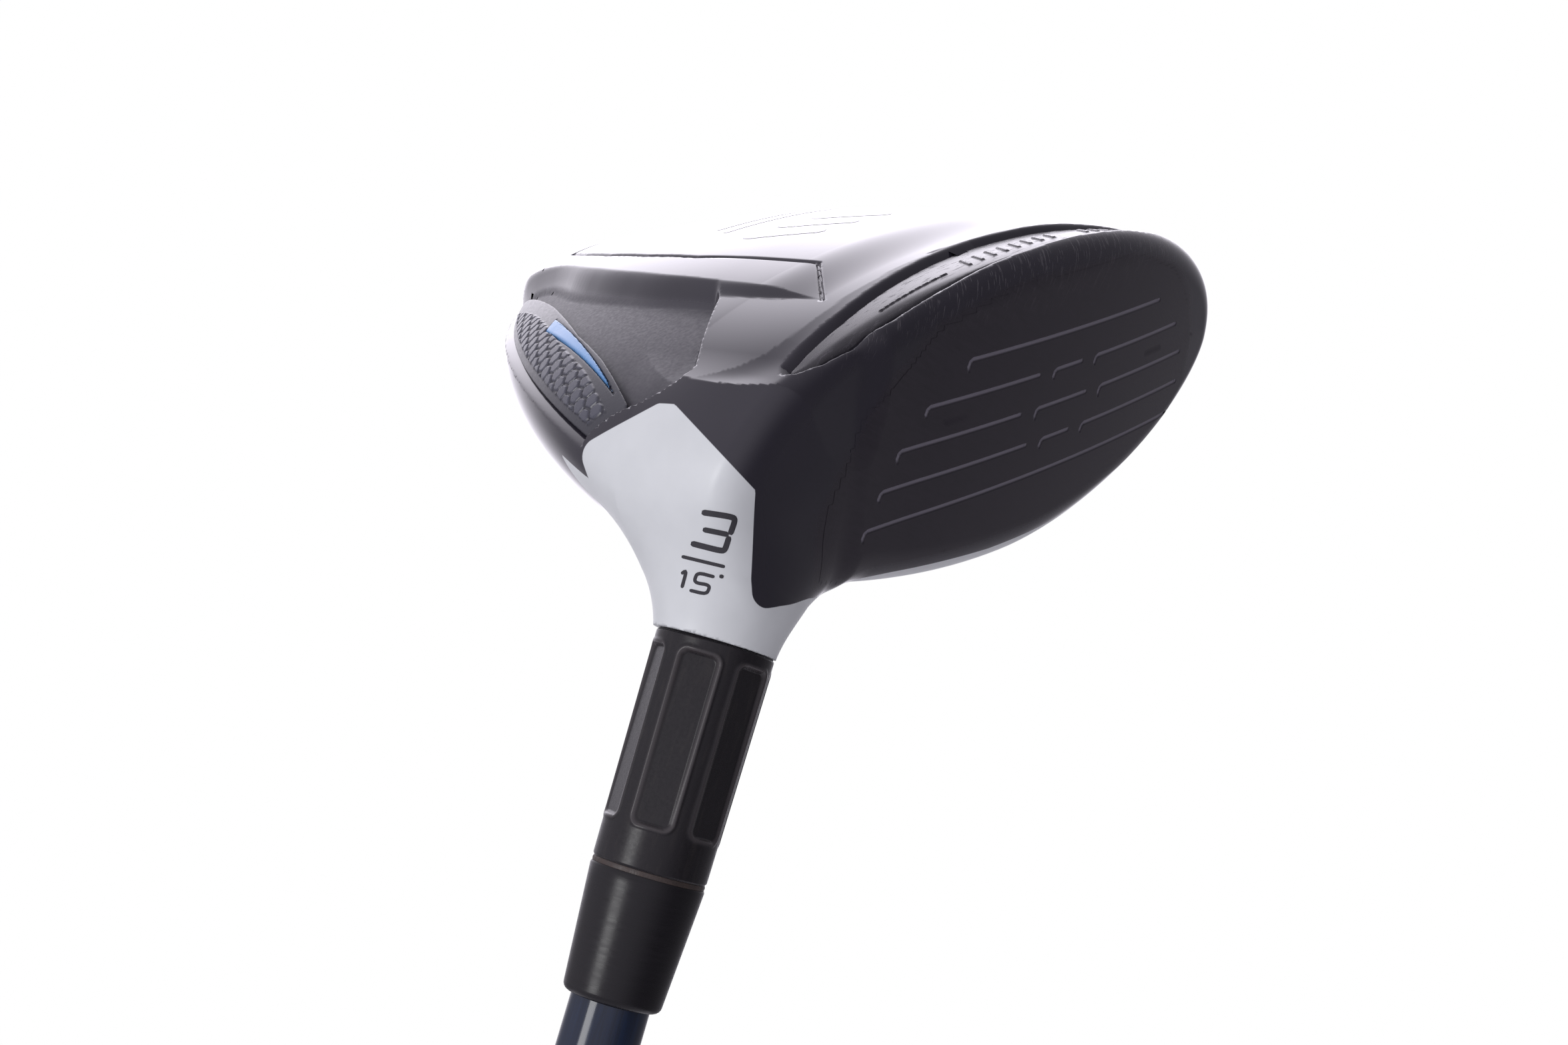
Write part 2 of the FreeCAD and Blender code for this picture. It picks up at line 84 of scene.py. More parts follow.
def to_club(points):
    return ((points @ TURN.T) + np.array([0, 0, CLUB_LENGTH])) * MM


def turn_only(vectors):
    return vectors @ TURN.T


# --- distance fields ---

def clip01(t):
    return np.clip(t, 0.0, 1.0)


def smoothstep(t):
    t = clip01(t)
    return t * t * (3 - 2 * t)


def round_max(a, b, r):
    """Intersection of two solids with the edge rounded to r."""
    return np.minimum(-r, np.maximum(a, b)) + np.hypot(np.maximum(r + a, 0), np.maximum(r + b, 0))


def round_min(a, b, r):
    """Union of two solids with the corner filled to r."""
    return np.maximum(r, np.minimum(a, b)) - np.hypot(np.maximum(r - a, 0), np.maximum(r - b, 0))


def half_width(y, half, power):
    back = clip01((WIDEST_Y - y) / (WIDEST_Y - REAR_Y))
    front = clip01((y - WIDEST_Y) / FRONT_REACH)
    wide = np.where(y < WIDEST_Y, np.maximum(1 - back ** power, 1e-4) ** (1 / power),
                    np.maximum(1 - front ** FRONT_POWER, 1e-4) ** (1 / FRONT_POWER))
    return half * wide


def side_width(x, y):
    """Half width of the head at y, on the side that x is on."""
    return np.where(x > HEAD_MID, half_width(y, TOE_HALF, TOE_POWER), half_width(y, HEEL_HALF, HEEL_POWER))


def skirt_z(y):
    return SKIRT_LOW + SKIRT_RISE * clip01((y - REAR_Y) / (WIDEST_Y - REAR_Y)) ** 3


def sole_z(y):
    rear, front = np.maximum(0, -15 - y), np.maximum(0, y - 8)
    return SOLE_LOW + rear ** 2 / SOLE_REAR_CURVE + front ** 2 / SOLE_FRONT_CURVE


def crown_z(y):
    t = clip01((WIDEST_Y - y) / (WIDEST_Y - REAR_Y))
    front = np.maximum(0, y - WIDEST_Y)
    return CROWN_LOW + CROWN_RISE * np.maximum(0, 1 - t ** 2.3) ** (1 / 1.8) - front ** 2 / CROWN_FRONT_CURVE


def head_ratio(p):
    """1 on the smooth outer form, less inside."""
    x, y, z = p[:, 0], p[:, 1], p[:, 2]
    skirt = skirt_z(y)
    high = z > skirt
    tall = np.where(high, crown_z(y) - skirt, skirt - sole_z(y))
    power = np.where(high, CROWN_POWER, SOLE_POWER)
    a = np.abs(x - HEAD_MID) / np.maximum(side_width(x, y), 0.4)
    b = np.abs(z - skirt) / np.maximum(tall, 0.3)
    return (a ** power + b ** power + 1e-12) ** (1 / power)


def head_form(p):
    """Signed distance, near enough, to the smooth outer form."""
    step = 0.05
    value = head_ratio(p)
    grad = np.stack([(head_ratio(p + step * np.eye(3)[k]) - value) / step for k in range(3)], 1)
    inside = (value - 1) / np.maximum(np.linalg.norm(grad, axis=1), 1e-3)
    return round_max(inside, REAR_Y + 0.5 - p[:, 1], 2.5)


def face_coords(p):
    q = p - FACE_CENTRE
    return q[:, 0], q @ FACE_UP, q @ FACE_OUT


def face_field(p):
    """Distance in front of the face, whose bulge runs out flat towards the hosel."""
    u, v, n = face_coords(p)
    beyond = np.maximum(FLAT_FROM - u, 0)
    near = np.maximum(u, FLAT_FROM)
    fade = (-FLAT_FROM / BULGE - FLAT_SLOPE) * FLAT_FADE * (1 - np.exp(-beyond / FLAT_FADE))
    flat = FLAT_SLOPE * beyond + fade
    return n + near * near / (2 * BULGE) + flat + v * v / (2 * ROLL)


def shaft_coords(p):
    s = p @ SHAFT_AXIS
    return s, np.linalg.norm(p - s[:, None] * SHAFT_AXIS, axis=1)


def neck_field(p):
    s, r = shaft_coords(p)
    radius = RING_R + (RING - s) * NECK_TAPER
    return np.maximum(r - radius, NECK_START - s)


def outer_form(p):
    """Head and neck in one.

    At the heel the head is cut near the face before the neck is blended on. Then the
    face cuts both, and runs out ahead of the neck towards the ring.
    """
    s, face = p @ SHAFT_AXIS, face_field(p)
    ahead = HEEL_AHEAD + 10 * smoothstep((p[:, 0] - FACE_CENTRE[0] + 38) / 12)
    body = round_max(head_form(p), face - ahead, FACE_ROUND)
    body = round_min(body, neck_field(p), NECK_FILLET)
    clear = CORNER_CLEAR * smoothstep((s - 26) / 11) + 0.6 * np.maximum(s - 34, 0)
    return round_max(body, face - clear, FACE_ROUND)


# --- plan features of the sole ---

def heel_plan(p):
    """Plan coordinates with the toe side folded onto the heel side, and the fold's scale."""
    toe = p[:, 0] > HEAD_MID
    scale = np.where(toe, TOE_HALF / HEEL_HALF, 1.0)
    x = np.where(toe, HEAD_MID - (p[:, 0] - HEAD_MID) * HEEL_HALF / TOE_HALF, p[:, 0])
    return np.stack([x, p[:, 1]], 1), scale


def segment_distance(q, a, b):
    e, w = b - a, q - a
    t = clip01((w @ e) / (e @ e))
    return np.hypot(*(w - t[:, None] * e).T)


def polygon_field(q, outline):
    """Signed distance to a closed polygon in the plane, negative inside."""
    best = np.full(len(q), 1e9)
    inside = np.zeros(len(q), bool)
    outline = np.array(outline, float)
    for a, b in zip(outline, np.roll(outline, -1, 0)):
        best = np.minimum(best, segment_distance(q, a, b))
        crosses = (a[1] > q[:, 1]) != (b[1] > q[:, 1])
        with np.errstate(divide="ignore", invalid="ignore"):
            x = a[0] + (q[:, 1] - a[1]) * (b[0] - a[0]) / (b[1] - a[1])
        inside ^= crosses & (q[:, 0] < x)
    return np.where(inside, -best, best)


def line_field(q, points):
    """Distance in the plane to an open line."""
    best = np.full(len(q), 1e9)
    points = np.array(points, float)
    for a, b in zip(points[:-1], points[1:]):
        best = np.minimum(best, segment_distance(q, a, b))
    return best


SLOT_MIDDLE = 8.2
SLOT_HALF = [(30.0, 11.7), (8.0, 11.7), (-1.7, 11.3), (-7.9, 10.4), (-11.7, 9.6), (-14.7, 8.4), (-15.4, 7.3),
             (-14.2, 6.4), (-10.6, 6.1), (-4.5, 5.8), (4.3, 4.8), (14.0, 3.9), (30.0, 3.2)]
SLOT_MID_X = 23.2
SLOT_DEPTH, WING_DEPTH, KEEL_RISE = 1.9, 1.8, 0.9
KEEL_GROOVE_DEPTH, KEEL_GROOVE_WIDTH = 0.4, 0.26
CREASE_SLOPE, CREASE_REACH = 0.11, 4.0


def slot_field(p):
    """Signed distance in plan to the slot, whose ends are drawn out."""
    value = np.full(len(p), 9.0)
    near = np.flatnonzero(np.abs(p[:, 1] - SLOT_MIDDLE) < 8)
    heelward = SLOT_MID_X - np.abs(p[near, 0] - SLOT_MID_X)
    value[near] = polygon_field(np.stack([heelward, p[near, 1]], 1), SLOT_HALF)
    return value


def skirt_line(margin):
    """Heel outline of the head, moved in by margin, from the rear to the hosel."""
    ys = np.arange(-73.0, -16.9, 2.0)
    return [(HEAD_MID - half_width(y, HEEL_HALF, HEEL_POWER) + margin, y) for y in ys]


KEEL_EDGE = [(-0.9, -14.5), (0.5, -25), (3.0, -35), (6.5, -44), (11.0, -53), (14.0, -60), (20.5, -75)]
KEEL_FOOT = [(-1.6, 1.3), (-3.4, -12.7), (-3.3, -25), (-1.0, -35), (2.4, -44), (8.2, -53), (12.0, -60),
             (19.0, -75)]
KEEL_TOP = [(-1.4, 1.3)] + KEEL_EDGE
WING_FRONT = [(-23.4, -12.4), (-22.2, -9.6), (-20.6, -5.8), (-19.2, -3.9), (-16.8, -4.0), (-12.0, -7.3),
              (-3.3, -12.7)]
WING = WING_FRONT + KEEL_EDGE + skirt_line(-1.0)
BAND_INNER = [(-21.0, -10.2), (-15.0, -20), (-10.0, -29), (-4.0, -38), (0.0, -44), (5.0, -52), (9.4, -59),
              (17.0, -71)]
BAND = BAND_INNER + skirt_line(-1.0)[1:] + [(-25.0, -8.0)]
ACCENT = [(-19.9, -13.4), (-4.8, -38.6), (-6.9, -38.2)]
WING_RIM, BAND_RIM = 1.7, 2.3      # how far below the skirt the recess and the band end
KEEL_GROOVE = [(-1.5, 1.3), (6.7, -6.0), (6.4, -25), (8.0, -35), (11.0, -45), (15.0, -54), (18.5, -60),
               (41.5, -60)]
FACET = [(-20.6, -4.0), (-18.8, -1.5), (-16.4, 1.1), (-13.3, 3.0), (-10.2, 3.7), (-4.0, 3.8), (15.0, 3.0)]


def at_y(y, line):
    """x of a line that runs to the rear, at y, with its bends smoothed."""
    line = np.array(line, float)[::-1]
    reach = np.linspace(-3.0, 3.0, 7)
    reach = np.minimum(reach[:, None], np.maximum(0, line[-1, 1] - y))
    return np.mean([np.interp(y + r, line[:, 1], line[:, 0]) for r in reach], axis=0)


def at_x(x, line):
    """y of a line that runs to the toe, at x."""
    line = np.array(line, float)
    return np.interp(x, line[:, 0], line[:, 1])


def surface(p):
    """The finished outer skin: form, slot, wing recesses, keel and grooves."""
    f = outer_form(p)
    low = np.flatnonzero((p[:, 2] < SOLE_TOP) & (np.abs(f) < 5) & (p[:, 1] < SOLE_TOP))
    if len(low):
        f[low] += sole_depth(p[low])
    return f


def under_skirt(p, drop):
    """Signed distance, near enough, past the line that runs drop below the skirt."""
    return (p[:, 2] - skirt_z(p[:, 1]) + drop) * 0.8


def wing_depth(p, q, scale):
    """Depth of the recess beside the keel, with the keel's long sloping side."""
    foot, top = at_y(q[:, 1], KEEL_FOOT), at_y(q[:, 1], KEEL_TOP)
    slope = 1 - smoothstep((q[:, 0] - foot) / np.maximum(top - foot, 0.3))
    edge = np.maximum(polygon_field(q, WING) * scale, under_skirt(p, WING_RIM))
    return WING_DEPTH * smoothstep((0.25 - edge) / 0.9) * slope


def skin_z(p):
    """Height of the smooth sole under each point."""
    x, y = p[:, 0], p[:, 1]
    across = clip01(np.abs(x - HEAD_MID) / np.maximum(side_width(x, y), 0.4))
    return skirt_z(y) - (skirt_z(y) - sole_z(y)) * (1 - across ** SOLE_POWER) ** (1 / SOLE_POWER)


def sole_depth(p):
    """How far each point of the sole lies below the smooth form."""
    q, scale = heel_plan(p)
    x, y = q[:, 0], q[:, 1]
    foot, top = at_y(y, KEEL_FOOT), at_y(y, KEEL_TOP)
    rise = KEEL_RISE * smoothstep((1.3 - y) / 9) * smoothstep((x - foot) / np.maximum(top - foot, 0.3))
    rise = rise * smoothstep((p[:, 1] + 76) / 8)
    slot = SLOT_DEPTH * smoothstep((0.5 - slot_field(p)) / 2.2) * smoothstep((-0.2 - face_field(p)) / 2.4)
    slot *= smoothstep((skin_z(p) + 5.6 - p[:, 2]) / 2)
    from_groove = line_field(q, KEEL_GROOVE) * scale
    groove = KEEL_GROOVE_DEPTH * np.exp(-(from_groove / KEEL_GROOVE_WIDTH) ** 2)
    ahead = np.where(y > at_x(x, FACET), line_field(q, FACET), 0)
    crease = CREASE_SLOPE * ahead * np.exp(-(ahead / CREASE_REACH) ** 2) * smoothstep((20 - x) / 12)
    crease *= smoothstep((x + 20.5) / 4)
    return wing_depth(p, q, scale) - rise + slot + groove + crease


# --- meshing a distance field ---

def gradient(field, p, step=0.04):
    g = np.stack([field(p + step * axis) - field(p - step * axis) for axis in np.eye(3)], 1) / (2 * step)
    return g / np.maximum(np.linalg.norm(g, axis=1), 1e-6)[:, None]


def active_blocks(field, low, high, block):
    counts = np.ceil((high - low) / block).astype(int)
    ijk = np.stack(np.meshgrid(*[np.arange(n) for n in counts], indexing="ij"), -1).reshape(-1, 3)
    value = field(low + (ijk + 0.5) * block)
    return ijk[np.abs(value) < block * 1.7]


KEY_BASE = 4096             # more than the cells along any axis of a grid
CHUNK = 400000              # about how many points a field is asked for at once


def mesh_field(field, low, high, cell, per_block=5):
    """Surface nets over the blocks that the surface passes through."""
    blocks = active_blocks(field, low, high, cell * per_block)
    n = per_block + 1
    local = np.stack(np.meshgrid(*[np.arange(n)] * 3, indexing="ij"), -1).reshape(-1, 3)
    nodes = (blocks[:, None, :] * per_block + local[None]).reshape(-1, 3)
    chunks = np.array_split(nodes, max(1, len(nodes) // CHUNK))
    values = np.concatenate([field(low + part * cell) for part in chunks])
    values = values.reshape(len(blocks), n, n, n)
    corners = np.stack([values[:, i:i + per_block, j:j + per_block, k:k + per_block]
                        for i in (0, 1) for j in (0, 1) for k in (0, 1)], -1)
    mixed = (corners.min(-1) < 0) & (corners.max(-1) >= 0)
    which, i, j, k = np.nonzero(mixed)
    index = blocks[which] * per_block + np.stack([i, j, k], 1)
    corners = corners[which, i, j, k]
    offsets = np.array([(a, b, c) for a in (0, 1) for b in (0, 1) for c in (0, 1)], float)
    total, count = np.zeros((len(index), 3)), np.zeros(len(index))
    for a in range(8):
        for b in range(a + 1, 8):
            if np.abs(offsets[a] - offsets[b]).sum() != 1:
                continue
            va, vb = corners[:, a], corners[:, b]
            cut = (va < 0) != (vb < 0)
            t = np.where(cut, va / np.where(cut, va - vb, 1), 0)[:, None]
            total += np.where(cut[:, None], offsets[a] + t * (offsets[b] - offsets[a]), 0)
            count += cut
    points = low + (index + total / count[:, None]) * cell
    size = np.array([1, KEY_BASE, KEY_BASE * KEY_BASE], np.int64)
    keys = index.astype(np.int64) @ size
    order = np.argsort(keys)
    keys, points, corners, index = keys[order], points[order], corners[order], index[order]
    quads = []
    for axis, far in ((0, 4), (1, 2), (2, 1)):
        cut = np.flatnonzero((corners[:, 0] < 0) != (corners[:, far] < 0))
        one, two = size[(axis + 1) % 3], size[(axis + 2) % 3]
        ring = [keys[cut], keys[cut] - one, keys[cut] - one - two, keys[cut] - two]
        found = [np.clip(np.searchsorted(keys, r), 0, len(keys) - 1) for r in ring]
        good = np.all([keys[f] == r for f, r in zip(found, ring)], axis=0)
        quad = np.stack(found, 1)[good]
        flip = corners[cut[good], 0] >= 0
        quad[flip] = quad[flip][:, ::-1]
        quads.append(quad)
    for _ in range(2):
        g = gradient(field, points)
        points = points - np.clip(field(points), -cell, cell)[:, None] * g * 0.9
    return points, np.concatenate(quads), gradient(field, points)


def make_piece(name, points, faces, normals, slot, nodes, material, masks=None):
    """A mesh in the row frame from address points, shaded by the given normals."""
    used, inverse = np.unique(faces, return_inverse=True)
    faces = inverse.reshape(faces.shape)
    mesh = bpy.data.meshes.new(name)
    mesh.from_pydata(to_club(points[used]).tolist(), [], faces.tolist())
    mesh.polygons.foreach_set("use_smooth", [True] * len(mesh.polygons))
    for mask, values in (masks or {}).items():
        mesh.attributes.new(mask, "FLOAT", "POINT").data.foreach_set("value", values[used])
    mesh.update()
    if normals is not None:
        mesh.normals_split_custom_set_from_vertices(turn_only(normals[used]).tolist())
    return finish_piece(add_object(name, mesh), slot, nodes, material)


def field_piece(name, field, box, slot, node, material, masks=None):
    """One piece meshed finely from its own field, with masks as functions of its points."""
    points, faces, normals = mesh_field(field, *np.array(box, float), FINE)
    values = {key: mask(points) for key, mask in (masks or {}).items()}
    make_piece(name, points, faces, normals, slot, [node], material, values)


def add_object(name, data):
    obj = bpy.data.objects.new(name, data)
    bpy.context.scene.collection.objects.link(obj)
    return obj


def finish_piece(obj, slot, nodes, material):
    obj.data.materials.append(material)
    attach(obj, "root")
    if nodes:
        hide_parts(*nodes)
    return obj


# --- masks kept on the head's points, for its finish ---

PRINT_RIGHT = np.array([0.65616, 0.75211, 0.06160])
PRINT_DOWN = np.array([-0.24708, 0.13699, 0.95926])
PRINT_INTO = np.array([0.6834, -0.6719, 0.2887])
# corners of the neck's white patch on the print plane, from the skirt round to the face
PATCH_SKIRT, PATCH_TIP, PATCH_FRONT = (-26.4, 17.9), (-16.2, 12.9), (-7.4, 22.3)
PATCH_SIDE = (-25.5, 20.5)
PAINT_HEEL_U = -52.2        # where the face's black ends at the heel
PAINT_TOP = [(-52, 12.4), (-48.5, 12.9), (-42.3, 14.4), (-38.5, 16.0), (-26.2, 16.9), (-7.4, 18.5),
             (8.5, 18.5), (17.6, 17.8), (26.8, 15.3), (33.1, 12.6), (45.0, 6.0)]
CROWN_LINE = 1.5            # height of the crown's paint above the skirt


def beyond_line(a, b, start, end):
    """Signed distance from a line, positive on the left of start to end with b downwards."""
    along = np.array(end, float) - np.array(start, float)
    along /= np.hypot(*along)
    return (a - start[0]) * along[1] - (b - start[1]) * along[0]


def white_paint(p):
    """Positive where the paint is white: the neck's patch, the neck and the crown."""
    a, b = p @ PRINT_RIGHT, p @ PRINT_DOWN
    rear, front = beyond_line(a, b, PATCH_SKIRT, PATCH_TIP), beyond_line(a, b, PATCH_TIP, PATCH_FRONT)
    side = beyond_line(a, b, PATCH_SIDE, PATCH_SKIRT)
    patch = -round_max(round_max(rear, front, 0.9), side, 1.8)
    u, v, _ = face_coords(p)
    off_face = round_max(PAINT_HEEL_U - u, v - at_x(u, PAINT_TOP), 1.8)
    crown = p[:, 2] - skirt_z(p[:, 1]) - CROWN_LINE
    return np.minimum(off_face, np.maximum(patch, crown))


FACE_OUTLINE = [(-41.0, 13.0), (-35.0, 15.6), (0.0, 15.8), (23.0, 14.6), (30.5, 11.5), (32.0, 5.0),
                (31.4, -1.0), (28.4, -7.5), (22.5, -12.8), (12.0, -16.4), (-12.0, -16.8), (-26.0, -13.6),
                (-36.0, -5.5), (-41.0, 5.0)]


def head_masks(p):
    """White paint, face plate, recess depth, worn leading edge and score lines at each point."""
    u, v, _ = face_coords(p)
    flat = -polygon_field(np.stack([u, v], 1), FACE_OUTLINE)
    q, scale = heel_plan(p)
    recess = np.where(p[:, 2] < SOLE_TOP, wing_depth(p, q, scale) / WING_DEPTH, 0)
    leading = np.exp(-((face_field(p) + 1.6) / 1.7) ** 2) * smoothstep((8 - p[:, 2]) / 6)
    return {"white": white_paint(p), "flat": flat + np.minimum(face_field(p) * 3, 0) + 1.0,
            "recess": recess, "leading": leading, "score": np.zeros(len(p))}


# --- node helpers ---

class Graph:
    """The node tree of a material, or of the world, built by short calls."""

    def __init__(self, name, world=None):
        self.material = world or bpy.data.materials.new(name)
        self.material.use_nodes = True
        self.tree = self.material.node_tree
        self.shader = self.tree.nodes["Background" if world else "Principled BSDF"]

    def add(self, kind, inputs=(), **settings):
        node = self.tree.nodes.new("ShaderNode" + kind)
        for key, value in settings.items():
            setattr(node, key, value)
        for key, value in dict(inputs).items():
            self.put(node.inputs[key], value)
        return node

    def put(self, socket, value):
        if isinstance(value, bpy.types.NodeSocket):
            self.tree.links.new(value, socket)
        elif isinstance(value, tuple) and socket.type == "RGBA":
            socket.default_value = (*value, 1)
        else:
            socket.default_value = value

    def surface(self, **inputs):
        for key, value in inputs.items():
            self.put(self.shader.inputs[key.replace("_", " ")], value)

    def math(self, operation, a, b):
        node = self.add("Math", operation=operation)
        for socket, value in zip(node.inputs, (a, b)):
            self.put(socket, value)
        return node.outputs[0]

    def mix(self, factor, a, b):
        """Mix of two colours, or of two numbers as greys."""
        node = self.add("Mix", data_type="RGBA")
        self.put(node.inputs["Factor"], factor)
        for key, value in (("A", a), ("B", b)):
            socket = [s for s in node.inputs if s.name == key and s.type == "RGBA"][0]
            self.put(socket, (value,) * 3 if isinstance(value, float) else value)
        return [s for s in node.outputs if s.type == "RGBA"][0]

    def ramp(self, value, low, high, out_low=0.0, out_high=1.0, smooth=False):
        node = self.add("MapRange", clamp=True, interpolation_type="SMOOTHSTEP" if smooth else "LINEAR")
        for key, number in zip(range(5), (value, low, high, out_low, out_high)):
            self.put(node.inputs[key], number)
        return node.outputs[0]

    def mask(self, name):
        return self.add("Attribute", attribute_name=name).outputs["Fac"]

    def place(self, stretch=(1.0, 1.0, 1.0), turn=(0.0, 0.0, 0.0)):
        """Object coordinates in millimetres, stretched along the given axes."""
        where = self.add("TexCoord").outputs["Object"]
        size = tuple(s / MM for s in stretch)
        return self.add("Mapping", {"Vector": where, "Scale": size, "Rotation": turn}).outputs[0]

    def noise(self, scale, detail=3.0, rough=0.5, place=None):
        """Noise whose scale is in cycles a millimetre."""
        inputs = {"Vector": place or self.place(), "Scale": scale, "Detail": detail, "Roughness": rough}
        return self.add("TexNoise", inputs).outputs[0]

    def bump(self, height, distance, strength=1.0):
        """Bump whose distance is in millimetres."""
        node = self.add("Bump", {"Height": height, "Distance": distance * MM, "Strength": strength})
        self.put(self.shader.inputs["Normal"], node.outputs[0])


# --- materials of the head ---

BLACK = (0.011, 0.010, 0.015)
FACE_BLACK = (0.010, 0.0080, 0.0125)
WHITE = (0.50, 0.52, 0.525)
RECESS_GREY = (0.020, 0.019, 0.025)


def head_paint():
    """Gloss black, satin on the face, matte in the recesses, and white at the neck and crown."""
    g = Graph("head_paint")
    white = g.ramp(g.mask("white"), -0.04, 0.04)
    flat = g.ramp(g.mask("flat"), -1.2, 0.8, smooth=True)
    recess = g.ramp(g.mask("recess"), 0.55, 0.95, smooth=True)
    cloud = g.noise(0.08)
    grain = g.noise(2.2, 2.0, 0.6)
    brushed = g.noise(1.0, 3.0, 0.7, g.place((0.05, 4.0, 4.0)))
    scratches = g.noise(1.0, 2.0, 0.6, g.place((6.0, 0.25, 0.5)))
    worn = g.math("MULTIPLY", g.mask("leading"), g.ramp(scratches, 0.60, 0.66))
    black = g.mix(cloud, BLACK, (0.018, 0.016, 0.024))
    face = g.mix(g.ramp(brushed, 0.3, 0.7), FACE_BLACK, (0.016, 0.013, 0.019))
    colour = g.mix(flat, black, face)
    # painted highlight: the score lines are coloured lighter to stand for the light caught on their grazing
    # walls
    colour = g.mix(g.ramp(g.mask("score"), 0.3, 0.9, 0.0, 0.85), colour, (0.16, 0.15, 0.18))
    colour = g.mix(recess, colour, g.mix(grain, RECESS_GREY, (0.030, 0.028, 0.037)))
    colour = g.mix(g.math("MULTIPLY", worn, 0.35), colour, (0.12, 0.11, 0.12))
    dull_white = g.mix(g.ramp(g.noise(0.25), 0.35, 0.75), WHITE, (0.475, 0.495, 0.50))
    colour = g.mix(white, colour, dull_white)
    rough = g.ramp(g.noise(0.5), 0.3, 0.7, 0.07, 0.12)
    rough = g.mix(flat, rough, g.ramp(brushed, 0.3, 0.7, 0.30, 0.38))
    rough = g.mix(recess, rough, g.ramp(grain, 0.3, 0.7, 0.42, 0.55))
    rough = g.mix(worn, rough, 0.4)
    rough = g.mix(white, rough, 0.36)
    height = g.math("MULTIPLY", brushed, flat)
    height = g.math("ADD", g.math("MULTIPLY", height, 0.4), g.math("MULTIPLY", grain, recess))
    height = g.math("SUBTRACT", height, worn)
    g.bump(height, 0.012, 0.8)
    g.surface(Base_Color=colour, Roughness=rough)
    g.shader.inputs["IOR"].default_value = 1.45
    return g.material


def slot_polymer():
    """Dark polymer, scuffed along the slot."""
    g = Graph("slot_polymer")
    scuff = g.ramp(g.noise(1.0, 4.0, 0.65, g.place((0.25, 3.0, 0.6))), 0.54, 0.70)
    grain = g.noise(3.0, 2.0)
    colour = g.mix(scuff, g.mix(grain, (0.012, 0.011, 0.014), (0.020, 0.018, 0.024)), (0.045, 0.041, 0.050))
    g.surface(Base_Color=colour, Roughness=g.ramp(scuff, 0.0, 1.0, 0.22, 0.5))
    g.bump(g.math("ADD", grain, scuff), 0.0015)
    return g.material


def wing_polymer():
    """Satin blue-grey polymer, fine grained, with painted shade: darker wherever the honeycomb lies low."""
    g = Graph("wing_polymer")
    grain = g.noise(2.5, 3.0, 0.6)
    raised = g.ramp(g.mask("relief"), 0.2, 0.8)
    # painted shade: the lines between the cells, and the plain strips at the same low level, take the dark
    # colour
    colour = g.mix(raised, (0.014, 0.0145, 0.022), g.mix(grain, (0.030, 0.031, 0.047), (0.040, 0.042, 0.060)))
    g.surface(Base_Color=colour, Roughness=g.ramp(grain, 0.3, 0.7, 0.26, 0.38))
    g.bump(grain, 0.01)
    return g.material


def accent_blue():
    """Blue enamel, faintly clouded and fine grained."""
    g = Graph("accent_blue")
    cloud = g.noise(0.4, 3.0)
    g.surface(Base_Color=g.mix(cloud, (0.075, 0.20, 0.42), (0.095, 0.25, 0.50)),
              Roughness=g.ramp(cloud, 0.3, 0.7, 0.2, 0.3))
    g.bump(g.noise(2.5), 0.006)
    return g.material


def hosel_satin():
    """Satin black over the casting, rubbed paler in streaks along the hosel."""
    g = Graph("hosel_satin")
    grain = g.noise(2.6, 3.0, 0.6)
    rubbed = g.ramp(g.noise(1.0, 4.0, 0.6, g.place((1.4, 1.4, 0.25))), 0.5, 0.8)
    colour = g.mix(grain, (0.0050, 0.0042, 0.0058), (0.0090, 0.0078, 0.0098))
    colour = g.mix(g.math("MULTIPLY", rubbed, 0.5), colour, (0.022, 0.019, 0.018))
    colour = g.mix(g.ramp(g.mask("lip"), 0.2, 0.9, 0.0, 0.7), colour, (0.050, 0.045, 0.047))
    g.surface(Base_Color=colour, Roughness=g.ramp(grain, 0.3, 0.7, 0.24, 0.34))
    g.shader.inputs["Specular IOR Level"].default_value = 0.25
    g.bump(grain, 0.006)
    return g.material


def ferrule_satin():
    """Black plastic with fine turning marks round it."""
    g = Graph("ferrule_satin")
    turned = g.noise(1.0, 3.0, 0.6, g.place((0.3, 0.3, 3.0)))
    grain = g.noise(3.0, 2.0)
    g.surface(Base_Color=g.mix(turned, (0.0030, 0.0025, 0.0038), (0.0060, 0.0052, 0.0072)),
              Roughness=g.ramp(turned, 0.3, 0.7, 0.24, 0.33))
    g.shader.inputs["Specular IOR Level"].default_value = 0.25
    g.bump(g.math("ADD", grain, turned), 0.004)
    return g.material


def shaft_gloss():
    """Gloss navy with a faint lengthwise grain of fibre."""
    g = Graph("shaft_gloss")
    fine = g.noise(1.0, 2.0, 0.5, g.place((4.0, 4.0, 0.15)))
    cloud = g.noise(0.05, 2.0)
    navy = g.mix(cloud, (0.001, 0.0045, 0.014), (0.002, 0.007, 0.022))
    g.surface(Base_Color=g.mix(g.ramp(fine, 0.35, 0.7), navy, (0.003, 0.010, 0.030)),
              Roughness=g.ramp(fine, 0.3, 0.7, 0.10, 0.16))
    g.shader.inputs["Specular IOR Level"].default_value = 0.4
    g.bump(fine, 0.004)
    return g.material


def label_print():
    """Silver film with plain navy bands."""
    g = Graph("label_print")
    height = g.add("SeparateXYZ", {"Vector": g.place()}).outputs["Z"]
    band = g.ramp(g.math("PINGPONG", height, 6.0), 2.2, 2.4)
    flake = g.noise(4.0, 2.0, 0.7)
    silver = g.mix(flake, (0.45, 0.47, 0.50), (0.62, 0.64, 0.67))
    g.surface(Base_Color=g.mix(band, (0.02, 0.05, 0.14), silver),
              Roughness=g.ramp(flake, 0.3, 0.7, 0.2, 0.3))
    g.shader.inputs["Metallic"].default_value = 0.4
    g.shader.inputs["Coat Weight"].default_value = 1.0
    return g.material


